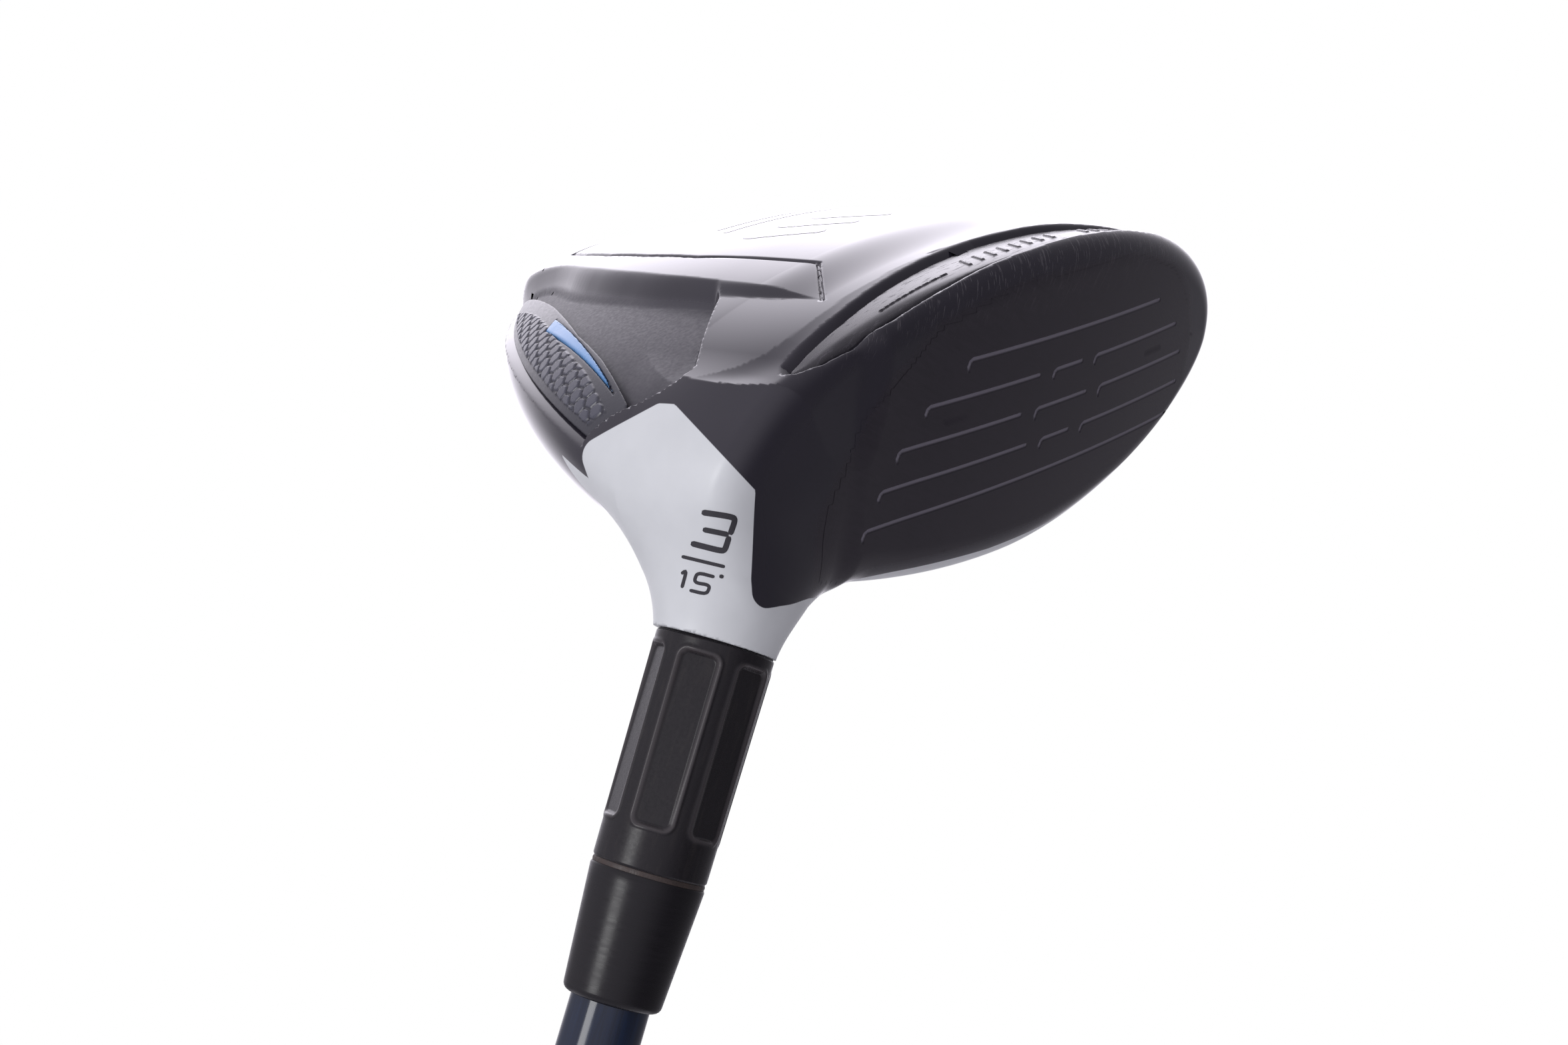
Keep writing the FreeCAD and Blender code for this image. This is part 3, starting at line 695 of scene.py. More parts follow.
def rubber(name, colour, lighter, rough):
    """Grained rubber, paler and smoother where hands have rubbed it."""
    g = Graph(name)
    grain = g.noise(1.8, 4.0, 0.65)
    wear = g.ramp(g.noise(0.04, 3.0), 0.45, 0.75)
    g.surface(Base_Color=g.mix(g.math("MULTIPLY", wear, 0.6), g.mix(grain, colour, lighter), lighter),
              Roughness=g.ramp(wear, 0.0, 1.0, rough, rough - 0.18))
    g.bump(grain, 0.06, 0.6)
    return g.material


def mottled(name, noise, dark, light, rough, metal=0.0, bump=0.0):
    """Two tones mixed by noise (scale, detail, roughness), with a roughness range and a bump in mm."""
    g = Graph(name)
    cloud = g.noise(*noise)
    g.surface(Base_Color=g.mix(cloud, dark, light), Roughness=g.ramp(cloud, 0.3, 0.7, *rough), Metallic=metal)
    if bump:
        g.bump(cloud, bump)
    return g.material


def seam_epoxy():
    return mottled("seam_epoxy", (0.9, 4.0, 0.6), (0.008, 0.006, 0.006), (0.036, 0.020, 0.014), (0.35, 0.6),
                   bump=0.12)


def ink():
    return mottled("ink", (3.0, 3.0, 0.5), (0.008, 0.008, 0.011), (0.017, 0.016, 0.021), (0.25, 0.4))


def silver_ink():
    return mottled("silver_ink", (3.5, 3.0, 0.7), (0.30, 0.30, 0.34), (0.46, 0.46, 0.50), (0.22, 0.34))


def cast_metal(name, dark, light, rough, metal):
    """Inner metal pieces, mottled as cast."""
    return mottled(name, (0.9, 4.0, 0.6), dark, light, (rough, rough + 0.15), metal, 0.05)


def cured(name, dark, light, rough):
    """Glues, resins and tape: cloudy, with soft lumps."""
    return mottled(name, (0.35, 4.0, 0.6), dark, light, (rough, rough + 0.12), bump=0.1)


# --- the head ---

CROWN_MARGIN, CROWN_FRONT, CROWN_REAR = 5.0, -1.0, -70.0


def on_crown_panel(c):
    """True on the crown panel: inside the outline by its margin and clear of the hosel."""
    x, y = c[:, 0], c[:, 1]
    heel = HEAD_MID - half_width(y, HEEL_HALF, HEEL_POWER) + CROWN_MARGIN
    toe = HEAD_MID + half_width(y, TOE_HALF, TOE_POWER) - CROWN_MARGIN
    clear = x > 4.0 + (y - CROWN_FRONT) * 1.1
    return (c[:, 2] > 20) & (x > heel) & (x < toe) & clear & (y < CROWN_FRONT) & (y > CROWN_REAR)


def on_keel_plate(c):
    """True inside the keel's outline groove."""
    q, _ = heel_plan(c)
    plate = KEEL_GROOVE[1:7] + [(HEAD_MID + 1, -60), (HEAD_MID + 1, -6)]
    return (c[:, 2] < 12) & (polygon_field(q, plate) < 0)


def under_face_plate(c):
    """True where the face plate's own mesh takes the skin's place."""
    u, v, _ = face_coords(c)
    return (polygon_field(np.stack([u, v], 1), FACE_OUTLINE) < -0.6) & (np.abs(face_field(c)) < 0.4)


def build_head(paint):
    low, high = np.array([-32.0, -80.0, -5.0]), np.array([76.0, 24.0, 44.0])

    def clipped(p):
        return np.maximum(surface(p), p @ SHAFT_AXIS - RING)

    points, faces, normals = mesh_field(clipped, low, high, GRID)
    masks = head_masks(points)
    centre = points[faces].mean(1)
    crown, keel = on_crown_panel(centre), on_keel_plate(centre)
    body = ~(crown | keel | under_face_plate(centre))
    rear = centre[:, 1] < -14
    lower = centre[:, 2] < skirt_z(centre[:, 1]) + CROWN_LINE
    parts = {"sole_front": (body & lower & ~rear, "body_paint", ["head_body"]),
             "sole_rear": (body & lower & rear, "body_paint", ["head_body"]),
             "crown_rim_and_neck": (body & ~lower, "body_paint", ["head_body"]),
             "crown_skin": (crown, "crown_paint", ["crown_panel"]),
             "keel_cover": (keel, "keel_metal", ["keel_plate"])}
    for name, (chosen, slot, nodes) in parts.items():
        make_piece(name, points, faces[chosen], normals, slot, nodes, paint, masks)


# --- pieces let into the head ---

def inlay_field(top, bottom, region, edge):
    """Solid between two depths below the form, over a plan region, with its top edge rounded."""
    def field(p):
        f = outer_form(p)
        return np.maximum(round_max(f + top(p), region(p), edge), -f - bottom)
    return field


def slash_relief(p):
    """Raised slanted bars along the middle of the slot, in groups."""
    x, y = p[:, 0], p[:, 1]
    slant = x + (y - SLOT_MIDDLE) * 0.5
    bar = smoothstep((0.42 - np.abs((slant % 2.4) - 1.2)) / 0.2)
    group = ((slant > 14) & (slant < 33)) | ((slant > 38) & (slant < 52))
    line = smoothstep((0.2 - np.abs(y - SLOT_MIDDLE - 0.7)) / 0.15) * ((x > -1) & (x < 11))
    return np.maximum(bar * group * smoothstep((1.3 - np.abs(y - SLOT_MIDDLE)) / 0.3), line)


SLOT_BAR_DROP, SLOT_BAR_FOOT, SLASH_RISE = 0.8, 2.5, 0.18
SLOT_BOX = (-17, 3, -5), (64, 14, 12)


def build_slot_insert():
    def top(p):
        return SLOT_BAR_DROP - SLASH_RISE * slash_relief(p)

    def region(p):
        return np.maximum(slot_field(p) + 0.6, face_field(p) + 2.3)

    field = inlay_field(top, SLOT_BAR_FOOT, region, 0.35)
    field_piece("slot_bar", field, SLOT_BOX, "slot_polymer", "slot_insert", slot_polymer())


HEX_ALONG = np.array([0.653, -0.714, -0.233])
HEX_ACROSS = np.array([-0.432, -0.610, 0.657])
HEX_SIZE = 2.1
BAND_DROP, HEX_RISE, ACCENT_DROP, WING_FOOT = 0.75, 0.22, 0.62, 1.95
WING_BOX = {"heel": ((-27, -77, -4), (20, -8, 18)), "toe": ((40, -77, -4), (74, -8, 18))}


def honeycomb(p):
    """1 on the cells' raised middles and 0 in the lines between them."""
    x = np.where(p[:, 0] > HEAD_MID, 2 * HEAD_MID - p[:, 0], p[:, 0])
    folded = np.stack([x, p[:, 1], p[:, 2]], 1)
    a, b = folded @ HEX_ALONG / HEX_SIZE, folded @ HEX_ACROSS / HEX_SIZE
    tall = math.sqrt(3)
    best = np.full(len(p), 9.0)
    for shift in (0.0, 0.5):
        i = a - np.round(a - shift) - shift
        j = b - (np.round(b / tall - shift) + shift) * tall
        radius = np.maximum(np.abs(i), np.abs(i) * 0.5 + np.abs(j) * tall / 2)
        best = np.minimum(best, radius)
    return smoothstep((0.5 - best) * HEX_SIZE / 0.28)


def build_wing(side, polymer, blue):
    """Honeycomb band and blue triangle of one recess."""
    toe = side == "toe"
    box = WING_BOX[side]

    def band(p):
        q, scale = heel_plan(p)
        inside = np.maximum(polygon_field(q, BAND), polygon_field(q, WING) + 0.5) * scale
        return np.maximum(inside, under_skirt(p, BAND_RIM))

    def triangle(p):
        q, scale = heel_plan(p)
        return polygon_field(q, ACCENT) * scale

    def around_triangle(p):
        return np.maximum(np.maximum(band(p), on_side(p)), -triangle(p))

    def plain_edge(p):
        """1 on the honeycomb, 0 on the plain strip inside the blue line and by the rim."""
        q, scale = heel_plan(p)
        inner = line_field(q, BAND_INNER) * scale
        return smoothstep((-band(p) - 0.9) / 0.3) * smoothstep((inner - 2.0) / 0.4)

    def relief(p):
        return honeycomb(p) * plain_edge(p)

    def top(p):
        return BAND_DROP - HEX_RISE * relief(p)

    def accent_top(p):
        return np.full(len(p), ACCENT_DROP)

    def on_side(p):
        return (HEAD_MID - p[:, 0]) if toe else (p[:, 0] - HEAD_MID)

    field = inlay_field(top, WING_FOOT, around_triangle, 0.35)
    field_piece("honeycomb_" + side, field, box, "wing_polymer", "wing_inlay_" + side, polymer,
                {"relief": relief})
    field = inlay_field(accent_top, WING_FOOT, lambda p: np.maximum(triangle(p), on_side(p)), 0.15)
    field_piece("blue_line_" + side, field, box, "accent_blue", "accent_" + side, blue)


def drape(starts, into, lift):
    """Points moved along into until they stand lift above the head's skin."""
    near, far = np.full(len(starts), -12.0), np.full(len(starts), 12.0)
    for _ in range(26):
        middle = (near + far) / 2
        outside = surface(starts + middle[:, None] * into) > lift
        near, far = np.where(outside, middle, near), np.where(outside, far, middle)
    return starts + far[:, None] * into


# --- face plate ---

SCORE_PITCH, SCORE_HALF, SCORE_DEPTH = 4.5, 0.26, 0.22
SCORE_ENDS = [(-20.2, 20.0), (-26.4, 26.3), (-30.2, 29.4), (-32.2, 30.5), (-33.7, 30.8)]
# the middle three lines are broken on both sides of the centre, from inner to outer
SCORE_GAP = {1: (2.9, 6.0), 2: (5.3, 8.5), 3: (2.9, 6.0)}


def score_lines():
    """Each stretch of score line as a short line with the hook its tool leaves at the heel end."""
    lines = []
    for index, (heel, toe) in enumerate(SCORE_ENDS):
        v = (index - 2) * SCORE_PITCH
        spans = [(heel, toe)]
        if index in SCORE_GAP:
            inner, outer = SCORE_GAP[index]
            spans = [(heel, -outer), (-inner, inner), (outer, toe)]
        for start, end in spans:
            lines.append([(start + 0.05, v + 0.75), (start + 0.2, v + 0.25), (start + 0.7, v), (end, v)])
    return lines


def spaced(low, high, step, stops, fine, reach):
    """Grid lines from low to high, finer within reach of each stop."""
    wide = [x for x in np.arange(low, high, step) if all(abs(x - s) > reach + step * 0.4 for s in stops)]
    close = [s + k * fine for s in stops for k in range(-round(reach / fine), round(reach / fine) + 1)]
    return np.array(sorted(set(np.round(wide + close, 4))))


def face_depth(uv):
    """Depth of the score lines below the face."""
    near = np.full(len(uv), 9.0)
    for line in score_lines():
        near = np.minimum(near, line_field(uv, line))
    return SCORE_DEPTH * smoothstep((SCORE_HALF + 0.08 - near) / 0.2)


def build_face_plate(paint):
    rows = [(k - 2) * SCORE_PITCH for k in range(5)]
    v_lines = spaced(-17.0, 16.2, 0.6, rows, 0.1, 0.9)
    stops = sorted({round(line[end][0], 2) for line in score_lines() for end in (0, -1)})
    u_lines = spaced(-41.5, 32.5, 0.7, stops, 0.12, 0.84)
    u, v = [grid.ravel() for grid in np.meshgrid(u_lines, v_lines, indexing="ij")]
    uv = np.stack([u, v], 1)
    step = 0.03
    depth = face_depth(uv)
    slope_u = (face_depth(uv + [step, 0]) - face_depth(uv - [step, 0])) / (2 * step)
    slope_v = (face_depth(uv + [0, step]) - face_depth(uv - [0, step])) / (2 * step)
    flat = FACE_CENTRE + np.outer(u, [1, 0, 0]) + np.outer(v, FACE_UP)
    points = drape(flat, -FACE_OUT, 0.03) - np.outer(depth, FACE_OUT)
    normals = gradient(surface, points + np.outer(depth, FACE_OUT))
    normals = normals + np.outer(slope_u, [1, 0, 0]) + np.outer(slope_v, FACE_UP)
    normals /= np.linalg.norm(normals, axis=1)[:, None]
    i, j = np.meshgrid(np.arange(len(u_lines) - 1), np.arange(len(v_lines) - 1), indexing="ij")
    first = (i * len(v_lines) + j).ravel()
    faces = np.stack([first, first + 1, first + 1 + len(v_lines), first + len(v_lines)], 1)
    inside = polygon_field(uv[faces].mean(1), FACE_OUTLINE) < 0
    masks = {**head_masks(points), "score": depth / SCORE_DEPTH}
    make_piece("face_skin", points, faces[inside], normals, "face_steel", ["face_plate"], paint, masks)


# --- round pieces along the shaft ---

FLUTES, FLUTE_START, FLUTE_END, FLUTE_WIDTH = 6, 42.7, 61.2, 4.4
FLUTE_FLAT, FLUTE_CORNER = 5.85, 0.8    # distance of a window's floor from the axis, and its corners
BUTT_R, TIP_END, BUTT_START = 7.6, 112.0, 800.0


def spokes(a):
    return np.cos(a)[..., None] * SIDE_A + np.sin(a)[..., None] * SIDE_B


def around(stations, angles, radius):
    """Grid of points about the shaft axis, with radius given on the same grid."""
    s, a = np.meshgrid(stations, angles, indexing="ij")
    return s[..., None] * SHAFT_AXIS + radius[..., None] * spokes(a)


def turned_piece(name, stations, count, radius, slot, nodes, material, masks=None):
    """Closed-round grid whose radius(s, a) may vary, shaded by the grid's own slopes."""
    angles = np.linspace(0, 2 * math.pi, count, endpoint=False)
    s, a = np.meshgrid(stations, angles, indexing="ij")
    points = around(stations, angles, radius(s, a))
    faces = ring_faces(len(stations), count)
    ds, da = 0.01, 0.002
    along = (radius(s + ds, a) - radius(s - ds, a)) / (2 * ds)
    turn = (radius(s, a + da) - radius(s, a - da)) / (2 * da) / radius(s, a)
    side = -np.sin(a)[..., None] * SIDE_A + np.cos(a)[..., None] * SIDE_B
    normals = spokes(a) - along[..., None] * SHAFT_AXIS - turn[..., None] * side
    normals = (normals / np.linalg.norm(normals, axis=-1)[..., None]).reshape(-1, 3)
    values = {key: mask(s, a).ravel() for key, mask in (masks or {}).items()}
    return make_piece(name, points.reshape(-1, 3), faces, normals, slot, nodes, material, values)


def ring_faces(rings, count):
    i, j = np.meshgrid(np.arange(rings - 1), np.arange(count), indexing="ij")
    here, beside = i * count + j, i * count + (j + 1) % count
    return np.stack([here, beside, beside + count, here + count], -1).reshape(-1, 4)


def lathe(name, profile, count, slot, nodes, material):
    """Solid of revolution from (station, radius) points, each repeated point a sharp edge."""
    profile = np.array(profile, float)
    angles = np.linspace(0, 2 * math.pi, count, endpoint=False)
    radius = np.repeat(profile[:, 1:], count, axis=1)
    points = around(profile[:, 0], angles, radius).reshape(-1, 3)
    faces = ring_faces(len(profile), count)
    obj = make_piece(name, points, faces, None, slot, nodes, material)
    obj.data.set_sharp_from_angle(angle=math.radians(32))
    return obj


def flute_depth(s, a):
    """1 in a window and 0 on the ribs, then the distance past its outline and from its middle line."""
    spacing = 2 * math.pi / FLUTES
    across = np.abs((a + math.pi / 2) % spacing - spacing / 2) * RING_R
    middle, half = (FLUTE_START + FLUTE_END) / 2, (FLUTE_END - FLUTE_START) / 2
    dx, dy = across - (FLUTE_WIDTH / 2 - FLUTE_CORNER), np.abs(s - middle) - (half - FLUTE_CORNER)
    out = np.hypot(np.maximum(dx, 0), np.maximum(dy, 0)) + np.minimum(np.maximum(dx, dy), 0) - FLUTE_CORNER
    return smoothstep((0.22 - out) / 0.5), out, across


def hosel_radius(s, a):
    top, out, across = flute_depth(s, a)
    outside = RING_R + (SEAM_R - RING_R) * (s - RING) / (SEAM - RING) - 0.04
    ends = 0.25 * smoothstep((RING + 0.35 - s) / 0.35) + 0.2 * smoothstep((s - SEAM + 0.3) / 0.3)
    floor = FLUTE_FLAT / np.cos(np.minimum(across / RING_R, 0.4))
    lip = 0.08 * np.exp(-((out - 0.35) / 0.22) ** 2)
    return outside - ends - (outside - floor) * top + lip


def build_hosel():
    def lip(s, a):
        return np.exp(-((flute_depth(s, a)[1] - 0.15) / 0.3) ** 2)

    stations = np.concatenate([np.linspace(RING - 0.5, FLUTE_START + 1.5, 30),
                               np.linspace(FLUTE_START + 1.7, FLUTE_END - 1.7, 30),
                               np.linspace(FLUTE_END - 1.5, SEAM, 44)])
    turned_piece("hosel_tube", stations, 384, hosel_radius, "body_paint", ["head_body"], hosel_satin(),
                 {"lip": lip})


def arc(s0, r0, s1, r1, steps=6):
    """Quarter turn between two profile points, leaving along the shaft."""
    turns = np.linspace(0, math.pi / 2, steps)
    return [(s0 + (s1 - s0) * math.sin(t), r0 + (r1 - r0) * (1 - math.cos(t))) for t in turns]


def build_ferrule():
    """The glue's bead, and the tapered collar behind it with its rounded end."""
    bead, end_round = 0.5, 0.8
    start = SEAM + bead
    seam = [(SEAM - 0.1, TIP_R), (SEAM - 0.1, SEAM_R - 0.3), (SEAM, SEAM_R - 0.16),
            (SEAM + bead / 2, SEAM_R - 0.10), (start, SEAM_R - 0.16), (start + 0.1, SEAM_R - 0.3),
            (start + 0.1, TIP_R)]
    lathe("glue_seam", seam, 128, "epoxy", ["seam_ring"], seam_epoxy())
    straight = FERRULE_END - end_round
    body = [(start + t * (straight - start), SEAM_R + t * (FERRULE_R - SEAM_R))
            for t in np.linspace(0.02, 1, 12)]
    profile = [(start + 0.02, TIP_R), (start + 0.02, SEAM_R - 0.12)] + body
    profile += arc(straight, FERRULE_R, FERRULE_END, FERRULE_R - end_round) + [(FERRULE_END, TIP_R + 0.02)]
    lathe("ferrule_body", profile, 128, "ferrule_black", ["ferrule"], ferrule_satin())


def shaft_radius(s):
    return TIP_R + (BUTT_R - TIP_R) * clip01((np.asarray(s, float) - TIP_END) / (BUTT_START - TIP_END))


def build_shaft():
    """The tube from inside the hosel to inside the cap, and the printed band on it."""
    low, high = 27.0, CLUB_LENGTH - CAP_HEIGHT
    stations = np.concatenate([np.linspace(low, TIP_END, 12), np.linspace(130, BUTT_START, 40),
                               np.linspace(820, high, 12)])
    profile = [(low, 2.5)] + [(s, float(shaft_radius(s))) for s in stations] + [(high, 6.5)]
    lathe("shaft_tube", profile, 96, "graphite", ["shaft"], shaft_gloss())
    start, length, film = 395.0, 62.0, 0.08
    end = start + length
    band = [(s, float(shaft_radius(s)) + film) for s in np.linspace(start, end, 10)]
    band = [(start, float(shaft_radius(start)))] + band + [(end, float(shaft_radius(end)))]
    lathe("shaft_band", band, 96, "label_film", ["shaft_label"], label_print())


GRIP_LENGTH, CAP_HEIGHT, CAP_ROUND, GRIP_BUTT, GRIP_MOUTH = 267.0, 4.0, 2.4, 13.4, 8.2
# (height above the cap's end, radius)
GRIP_PROFILE = [(CAP_HEIGHT, GRIP_BUTT), (8, 13.2), (22, 12.4), (52, 11.5), (140, 10.1), (253, 9.2),
                (265, 8.7), (GRIP_LENGTH, GRIP_MOUTH)]
GRIP_TURNS, GRIP_RUN = 12, 7.0          # grooves round the grip, and the height each takes to cross one
GRIP_CUT, GRIP_RING_CUT = 0.32, 0.35


def grip_radius(s, a):
    """Sleeve with shallow crossed grooves in three panels, plain between them."""
    h = CLUB_LENGTH - s
    heights, radii = zip(*GRIP_PROFILE)
    base = np.interp(h, heights, radii)
    panel = smoothstep((h - 16) / 3) * smoothstep((246 - h) / 3)
    plain = smoothstep((4 - np.abs(h - 92)) / 2) + smoothstep((4 - np.abs(h - 168)) / 2)
    turn = GRIP_TURNS * a / (2 * math.pi)
    left = np.abs((turn + h / GRIP_RUN) % 1 - 0.5)
    right = np.abs((turn - h / GRIP_RUN) % 1 - 0.5)
    cross = np.maximum(smoothstep((left - 0.38) / 0.08), smoothstep((right - 0.38) / 0.08))
    ring = smoothstep((0.5 - np.abs(h - 14)) / 0.3) + smoothstep((0.5 - np.abs(h - 248)) / 0.3)
    return base - GRIP_CUT * cross * panel * (1 - clip01(plain)) - GRIP_RING_CUT * ring


def build_grip():
    top = CLUB_LENGTH - CAP_HEIGHT
    stations = np.linspace(CLUB_LENGTH - GRIP_LENGTH, top, 420)
    turned_piece("grip_sleeve", stations, 192, grip_radius, "grip_rubber", ["grip"],
                 rubber("grip_rubber", (0.013, 0.013, 0.014), (0.024, 0.024, 0.026), 0.72))
    lip = CLUB_LENGTH - GRIP_LENGTH
    lathe("grip_mouth", [(lip, GRIP_MOUTH), (lip, BUTT_R + 0.02)], 128, "grip_rubber", [],
          bpy.data.materials["grip_rubber"])
    rim = [(CLUB_LENGTH - CAP_ROUND * (1 - math.cos(t)), GRIP_BUTT - CAP_ROUND * (1 - math.sin(t)))
           for t in np.linspace(math.pi / 2, 0, 8)]
    groove = [(CLUB_LENGTH, 8.6), (CLUB_LENGTH - 0.4, 8.4), (CLUB_LENGTH - 0.4, 8.0), (CLUB_LENGTH, 7.8)]
    hole = [(CLUB_LENGTH, 2.0), (CLUB_LENGTH - 0.4, 1.6), (top, 1.6)]
    lathe("cap", [(top, GRIP_BUTT)] + rim + groove + hole, 128, "cap_rubber", ["grip_cap"],
          rubber("cap_rubber", (0.018, 0.018, 0.019), (0.030, 0.030, 0.032), 0.6))


# --- printed marks ---

STROKE_STEP = 0.12


def smooth_stroke(stroke):
    """The stroke's points at an even spacing, with its corners cut round."""
    line = np.array(stroke, float)
    for _ in range(2):
        ahead, behind = line[:-1] * 0.8 + line[1:] * 0.2, line[:-1] * 0.2 + line[1:] * 0.8
        line = np.concatenate([line[:1], np.stack([ahead, behind], 1).reshape(-1, 2)[1:-1], line[-1:]])
    length = np.concatenate([[0], np.cumsum(np.hypot(*np.diff(line, axis=0).T))])
    at = np.linspace(0, length[-1], max(4, int(length[-1] / STROKE_STEP)))
    return np.stack([np.interp(at, length, line[:, k]) for k in (0, 1)], 1)


def print_marks(name, strokes, origin, right, down, into, material, slot):
    """Flat strokes of (points, width) drawn on a plane and carried onto the head along into."""
    points, faces = [], []
    for stroke, width in strokes:
        line = smooth_stroke(stroke)
        along = np.gradient(line, axis=0)
        along /= np.hypot(*along.T)[:, None]
        side = np.stack([-along[:, 1], along[:, 0]], 1)
        count = np.arange(len(line))
        ends = np.minimum(count, count[::-1]) * STROKE_STEP / (width / 2)
        half = width / 2 * np.sqrt(1 - np.maximum(0, 1 - np.maximum(ends, 0.15)) ** 2)
        base = len(points)
        across = [line + side * (half * k)[:, None] for k in (-1.0, -0.5, 0.0, 0.5, 1.0)]
        points.extend(np.stack(across, 1).reshape(-1, 2))
        for i in range(len(line) - 1):
            for k in range(4):
                first = base + i * 5 + k
                faces.append([first, first + 1, first + 6, first + 5])
    flat = np.array(points)
    starts = origin + np.outer(flat[:, 0], right) + np.outer(flat[:, 1], down)
    points = drape(starts, into, 0.03)
    make_piece(name, points, np.array(faces), gradient(surface, points), slot, [], material)


NECK_PRINT = np.array([-24.9, 3.5, 24.9]) - 1.37 * PRINT_DOWN
# the club number over its loft: (points, width) of each stroke, right and down from NECK_PRINT
CLUB_NUMBER = [([(-0.46, -4.18), (2.90, -3.67), (2.9, -3.2), (2.44, -1.90)], 0.60),
               ([(-0.35, -2.44), (2.30, -1.90)], 0.54),
               ([(2.36, -1.74), (1.95, -0.40), (1.6, -0.22), (-1.58, -1.04)], 0.60),
               ([(-2.55, 0.32), (1.93, 1.39)], 0.36),
               ([(-2.60, 2.13), (-2.02, 1.72), (-2.55, 3.60)], 0.36),
               ([(0.86, 2.44), (-0.93, 1.97), (-1.30, 3.02), (0.42, 3.29), (0.05, 4.25), (-1.74, 3.83)],
                0.36),
               ([(1.36, 2.34), (1.80, 2.43)], 0.46)]
# plain slanted bars on the keel
KEEL_MARKS = [([(20.0 + 6.5 * k, -16.0), (15.0 + 6.5 * k, -25.0)], 2.6) for k in range(3)]
KEEL_MARKS += [([(18.0, -31.0), (41.0, -31.0)], 1.0), ([(20.0, -34.0), (39.0, -34.0)], 0.7)]


def build_prints():
    print_marks("club_number", CLUB_NUMBER, NECK_PRINT, PRINT_RIGHT, PRINT_DOWN, PRINT_INTO, ink(),
                "body_paint")
    toe, target, up = np.eye(3)
    print_marks("keel_marks", KEEL_MARKS, SOLE_LOW * up, toe, target, up, silver_ink(), "keel_metal")


# --- CAD pieces that stay as they are ---

def finish_inner_pieces():
    """Materials for the pieces whose CAD mesh is kept."""
    finishes = {"crown_bond": cured("bond_line", (0.13, 0.13, 0.14), (0.22, 0.22, 0.23), 0.6),
                "keel_weight": cast_metal("weight_metal", (0.20, 0.19, 0.18), (0.36, 0.35, 0.34), 0.4, 0.9),
                "swing_glue": cured("glue_puddle", (0.62, 0.56, 0.42), (0.80, 0.75, 0.62), 0.3),
                "hosel_bond": cured("bore_epoxy", (0.22, 0.14, 0.07), (0.36, 0.25, 0.14), 0.3),
                "tip_weight": cast_metal("pin_brass", (0.50, 0.34, 0.12), (0.75, 0.56, 0.24), 0.25, 1.0),
                "grip_tape": cured("tape_paper", (0.68, 0.66, 0.58), (0.80, 0.78, 0.70), 0.7)}
    for node, material in finishes.items():
        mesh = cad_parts[node].data
        mesh.materials.clear()
        mesh.materials.append(material)


PAINT = head_paint()
build_head(PAINT)
build_face_plate(PAINT)
build_slot_insert()
POLYMER, BLUE = wing_polymer(), accent_blue()
build_wing("heel", POLYMER, BLUE)
build_wing("toe", POLYMER, BLUE)
build_hosel()
build_ferrule()
build_shaft()
build_grip()
build_prints()
finish_inner_pieces()


# --- camera, floor and light ---

CAMERA_PLACE = np.array([-165.87, 142.17, -35.97])
CAMERA_RIGHT, CAMERA_DOWN = PRINT_RIGHT, PRINT_DOWN
CAMERA_LOOK = np.array([0.71303, -0.64465, 0.27571])


def set_place(obj, axes, place):
    """Stand an object at place, with its axes as the columns of axes."""
    obj.matrix_world = Matrix([[*axes[i], place[i]] for i in range(3)] + [[0, 0, 0, 1]])


def camera():
    """The photograph's own view: its place and axes are in the address frame."""
    data = bpy.data.cameras.new("camera")
    data.sensor_width = 36.0
    data.lens = 45.9
    data.clip_start, data.clip_end = 0.01, 50
    cam = add_object("camera", data)
    axes = turn_only(np.array([CAMERA_RIGHT, -CAMERA_DOWN, -CAMERA_LOOK])).T
    set_place(cam, axes, to_club(CAMERA_PLACE[None])[0])
    bpy.context.scene.camera = cam


def floor_material():
    g = Graph("floor_pale")
    g.surface(Base_Color=g.mix(g.noise(0.01), (0.80, 0.80, 0.81), (0.84, 0.84, 0.85)), Roughness=0.9)
    return g.material


FLOOR_R, FLOOR_Z, FLOOR_SIDES = 1.6, -0.001, 64


def stage():
    """Round pale floor just under the cap, in metres."""
    mesh = bpy.data.meshes.new("floor")
    angles = np.linspace(0, 2 * math.pi, FLOOR_SIDES, endpoint=False)
    ring = [(FLOOR_R * math.cos(a), FLOOR_R * math.sin(a), FLOOR_Z) for a in angles]
    mesh.from_pydata(ring, [], [list(range(FLOOR_SIDES))])
    floor = add_object("floor", mesh)
    mesh.materials.append(floor_material())


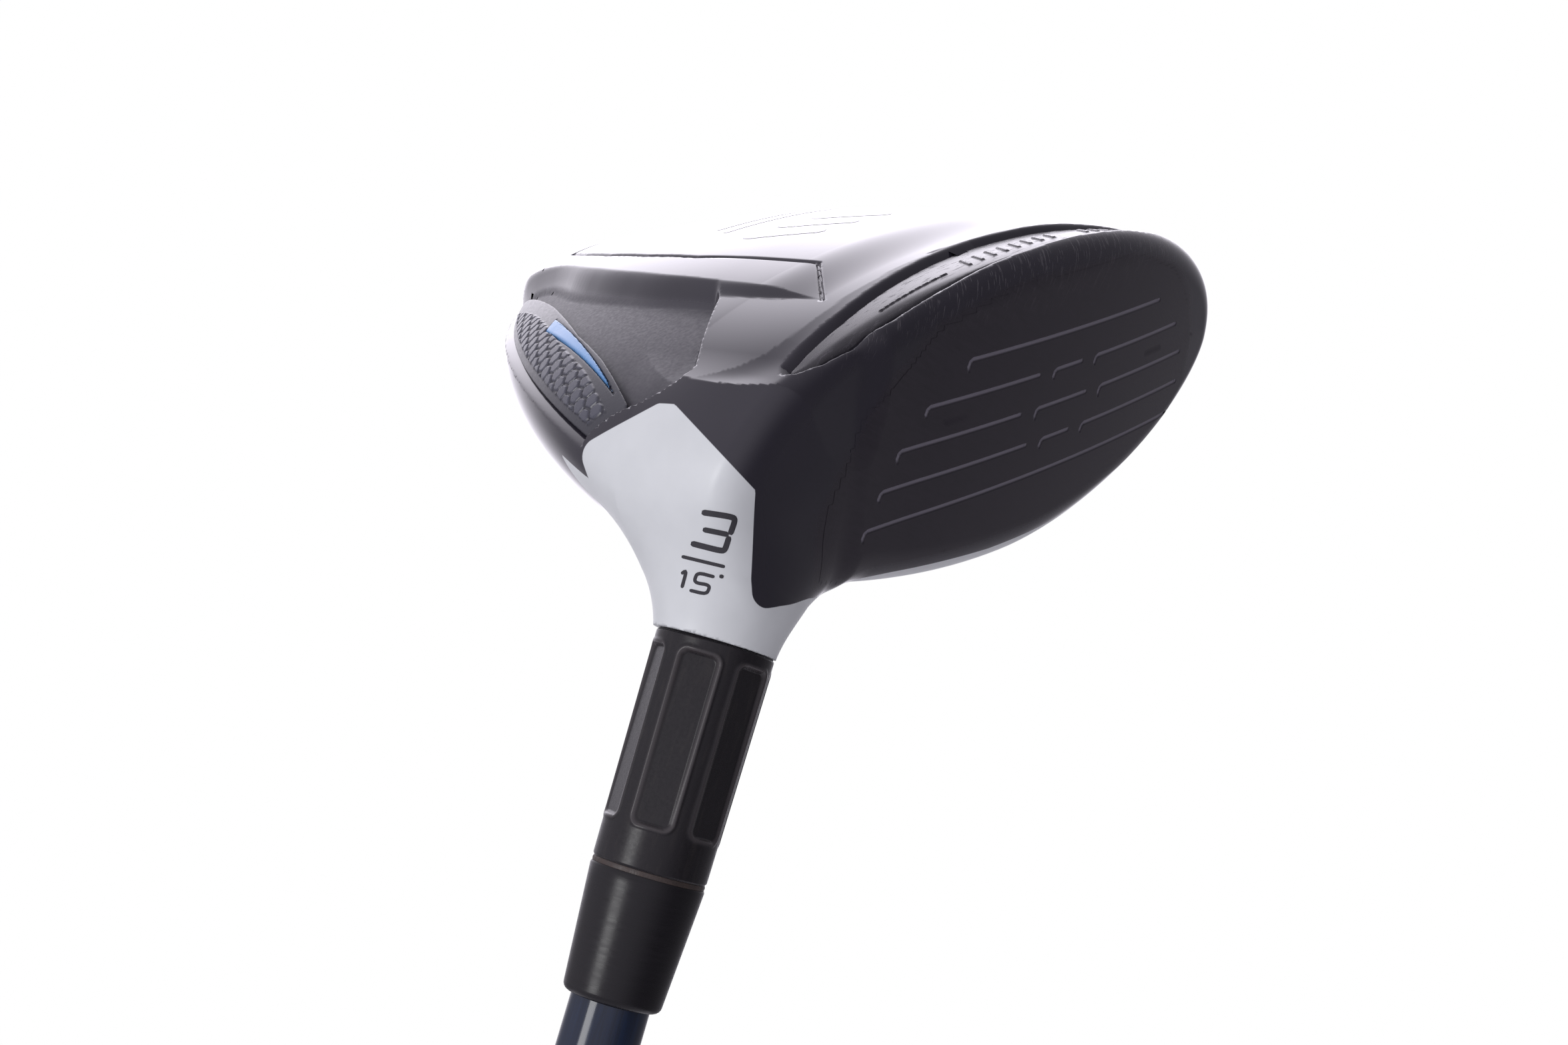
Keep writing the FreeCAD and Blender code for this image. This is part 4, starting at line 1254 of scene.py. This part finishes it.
def studio():
    """White all round, brightest behind the head, softer on the camera's side."""
    world = bpy.data.worlds.new("studio")
    bpy.context.scene.world = world
    g = Graph("studio", world)
    where = g.add("TexCoord").outputs["Generated"]

    def along(away, right, up):
        """How far each direction points away from the camera, to its right and up."""
        axis = turn_only(away * CAMERA_LOOK + right * CAMERA_RIGHT - up * CAMERA_DOWN)
        node = g.add("VectorMath", operation="DOT_PRODUCT")
        g.put(node.inputs[0], where)
        node.inputs[1].default_value = tuple(axis / np.linalg.norm(axis))
        return node.outputs["Value"]

    glow = g.math("POWER", g.ramp(along(0.87, 0.0, 0.5), -0.1, 1.0), 6.0)
    glow = g.math("MULTIPLY", glow, g.ramp(along(0.0, 1.0, 0.0), 0.1, 0.6, 3.2, 1.0, smooth=True))
    wall = g.ramp(along(-0.75, -0.55, 0.35), -0.3, 0.9, 0.25, 1.15, smooth=True)
    g.put(g.shader.inputs[0], (0.945, 0.91, 1.0))
    g.put(g.shader.inputs[1], g.math("ADD", glow, wall))
    shown = g.add("Background", {"Color": (1.0, 1.0, 1.0), "Strength": 1.0})
    choose = g.add("MixShader")
    g.put(choose.inputs[0], g.add("LightPath").outputs["Is Camera Ray"])
    g.put(choose.inputs[1], g.shader.outputs[0])
    g.put(choose.inputs[2], shown.outputs[0])
    g.put(g.tree.nodes["World Output"].inputs["Surface"], choose.outputs[0])
    bpy.context.scene.view_settings.view_transform = "Standard"


def soft_light(name, away, across, up, size, power):
    """Area light placed from the head, towards the camera by away, across and up, in metres."""
    data = bpy.data.lights.new(name, "AREA")
    data.size, data.energy = size, power
    lamp = add_object(name, data)
    aim = to_club(np.array([[0.0, 0.0, 20.0]]))[0]
    offset = turn_only(np.array([-away * CAMERA_LOOK + across * CAMERA_RIGHT - up * CAMERA_DOWN]))[0]
    place = aim + offset
    out = offset / np.linalg.norm(offset)
    side = np.cross([0, 0, 1], out)
    side /= np.linalg.norm(side)
    axes = np.array([side, np.cross(out, side), out]).T
    set_place(lamp, axes, place)


camera()
stage()
studio()
soft_light("key", 0.9, -0.9, 0.1, 0.45, 5.0)
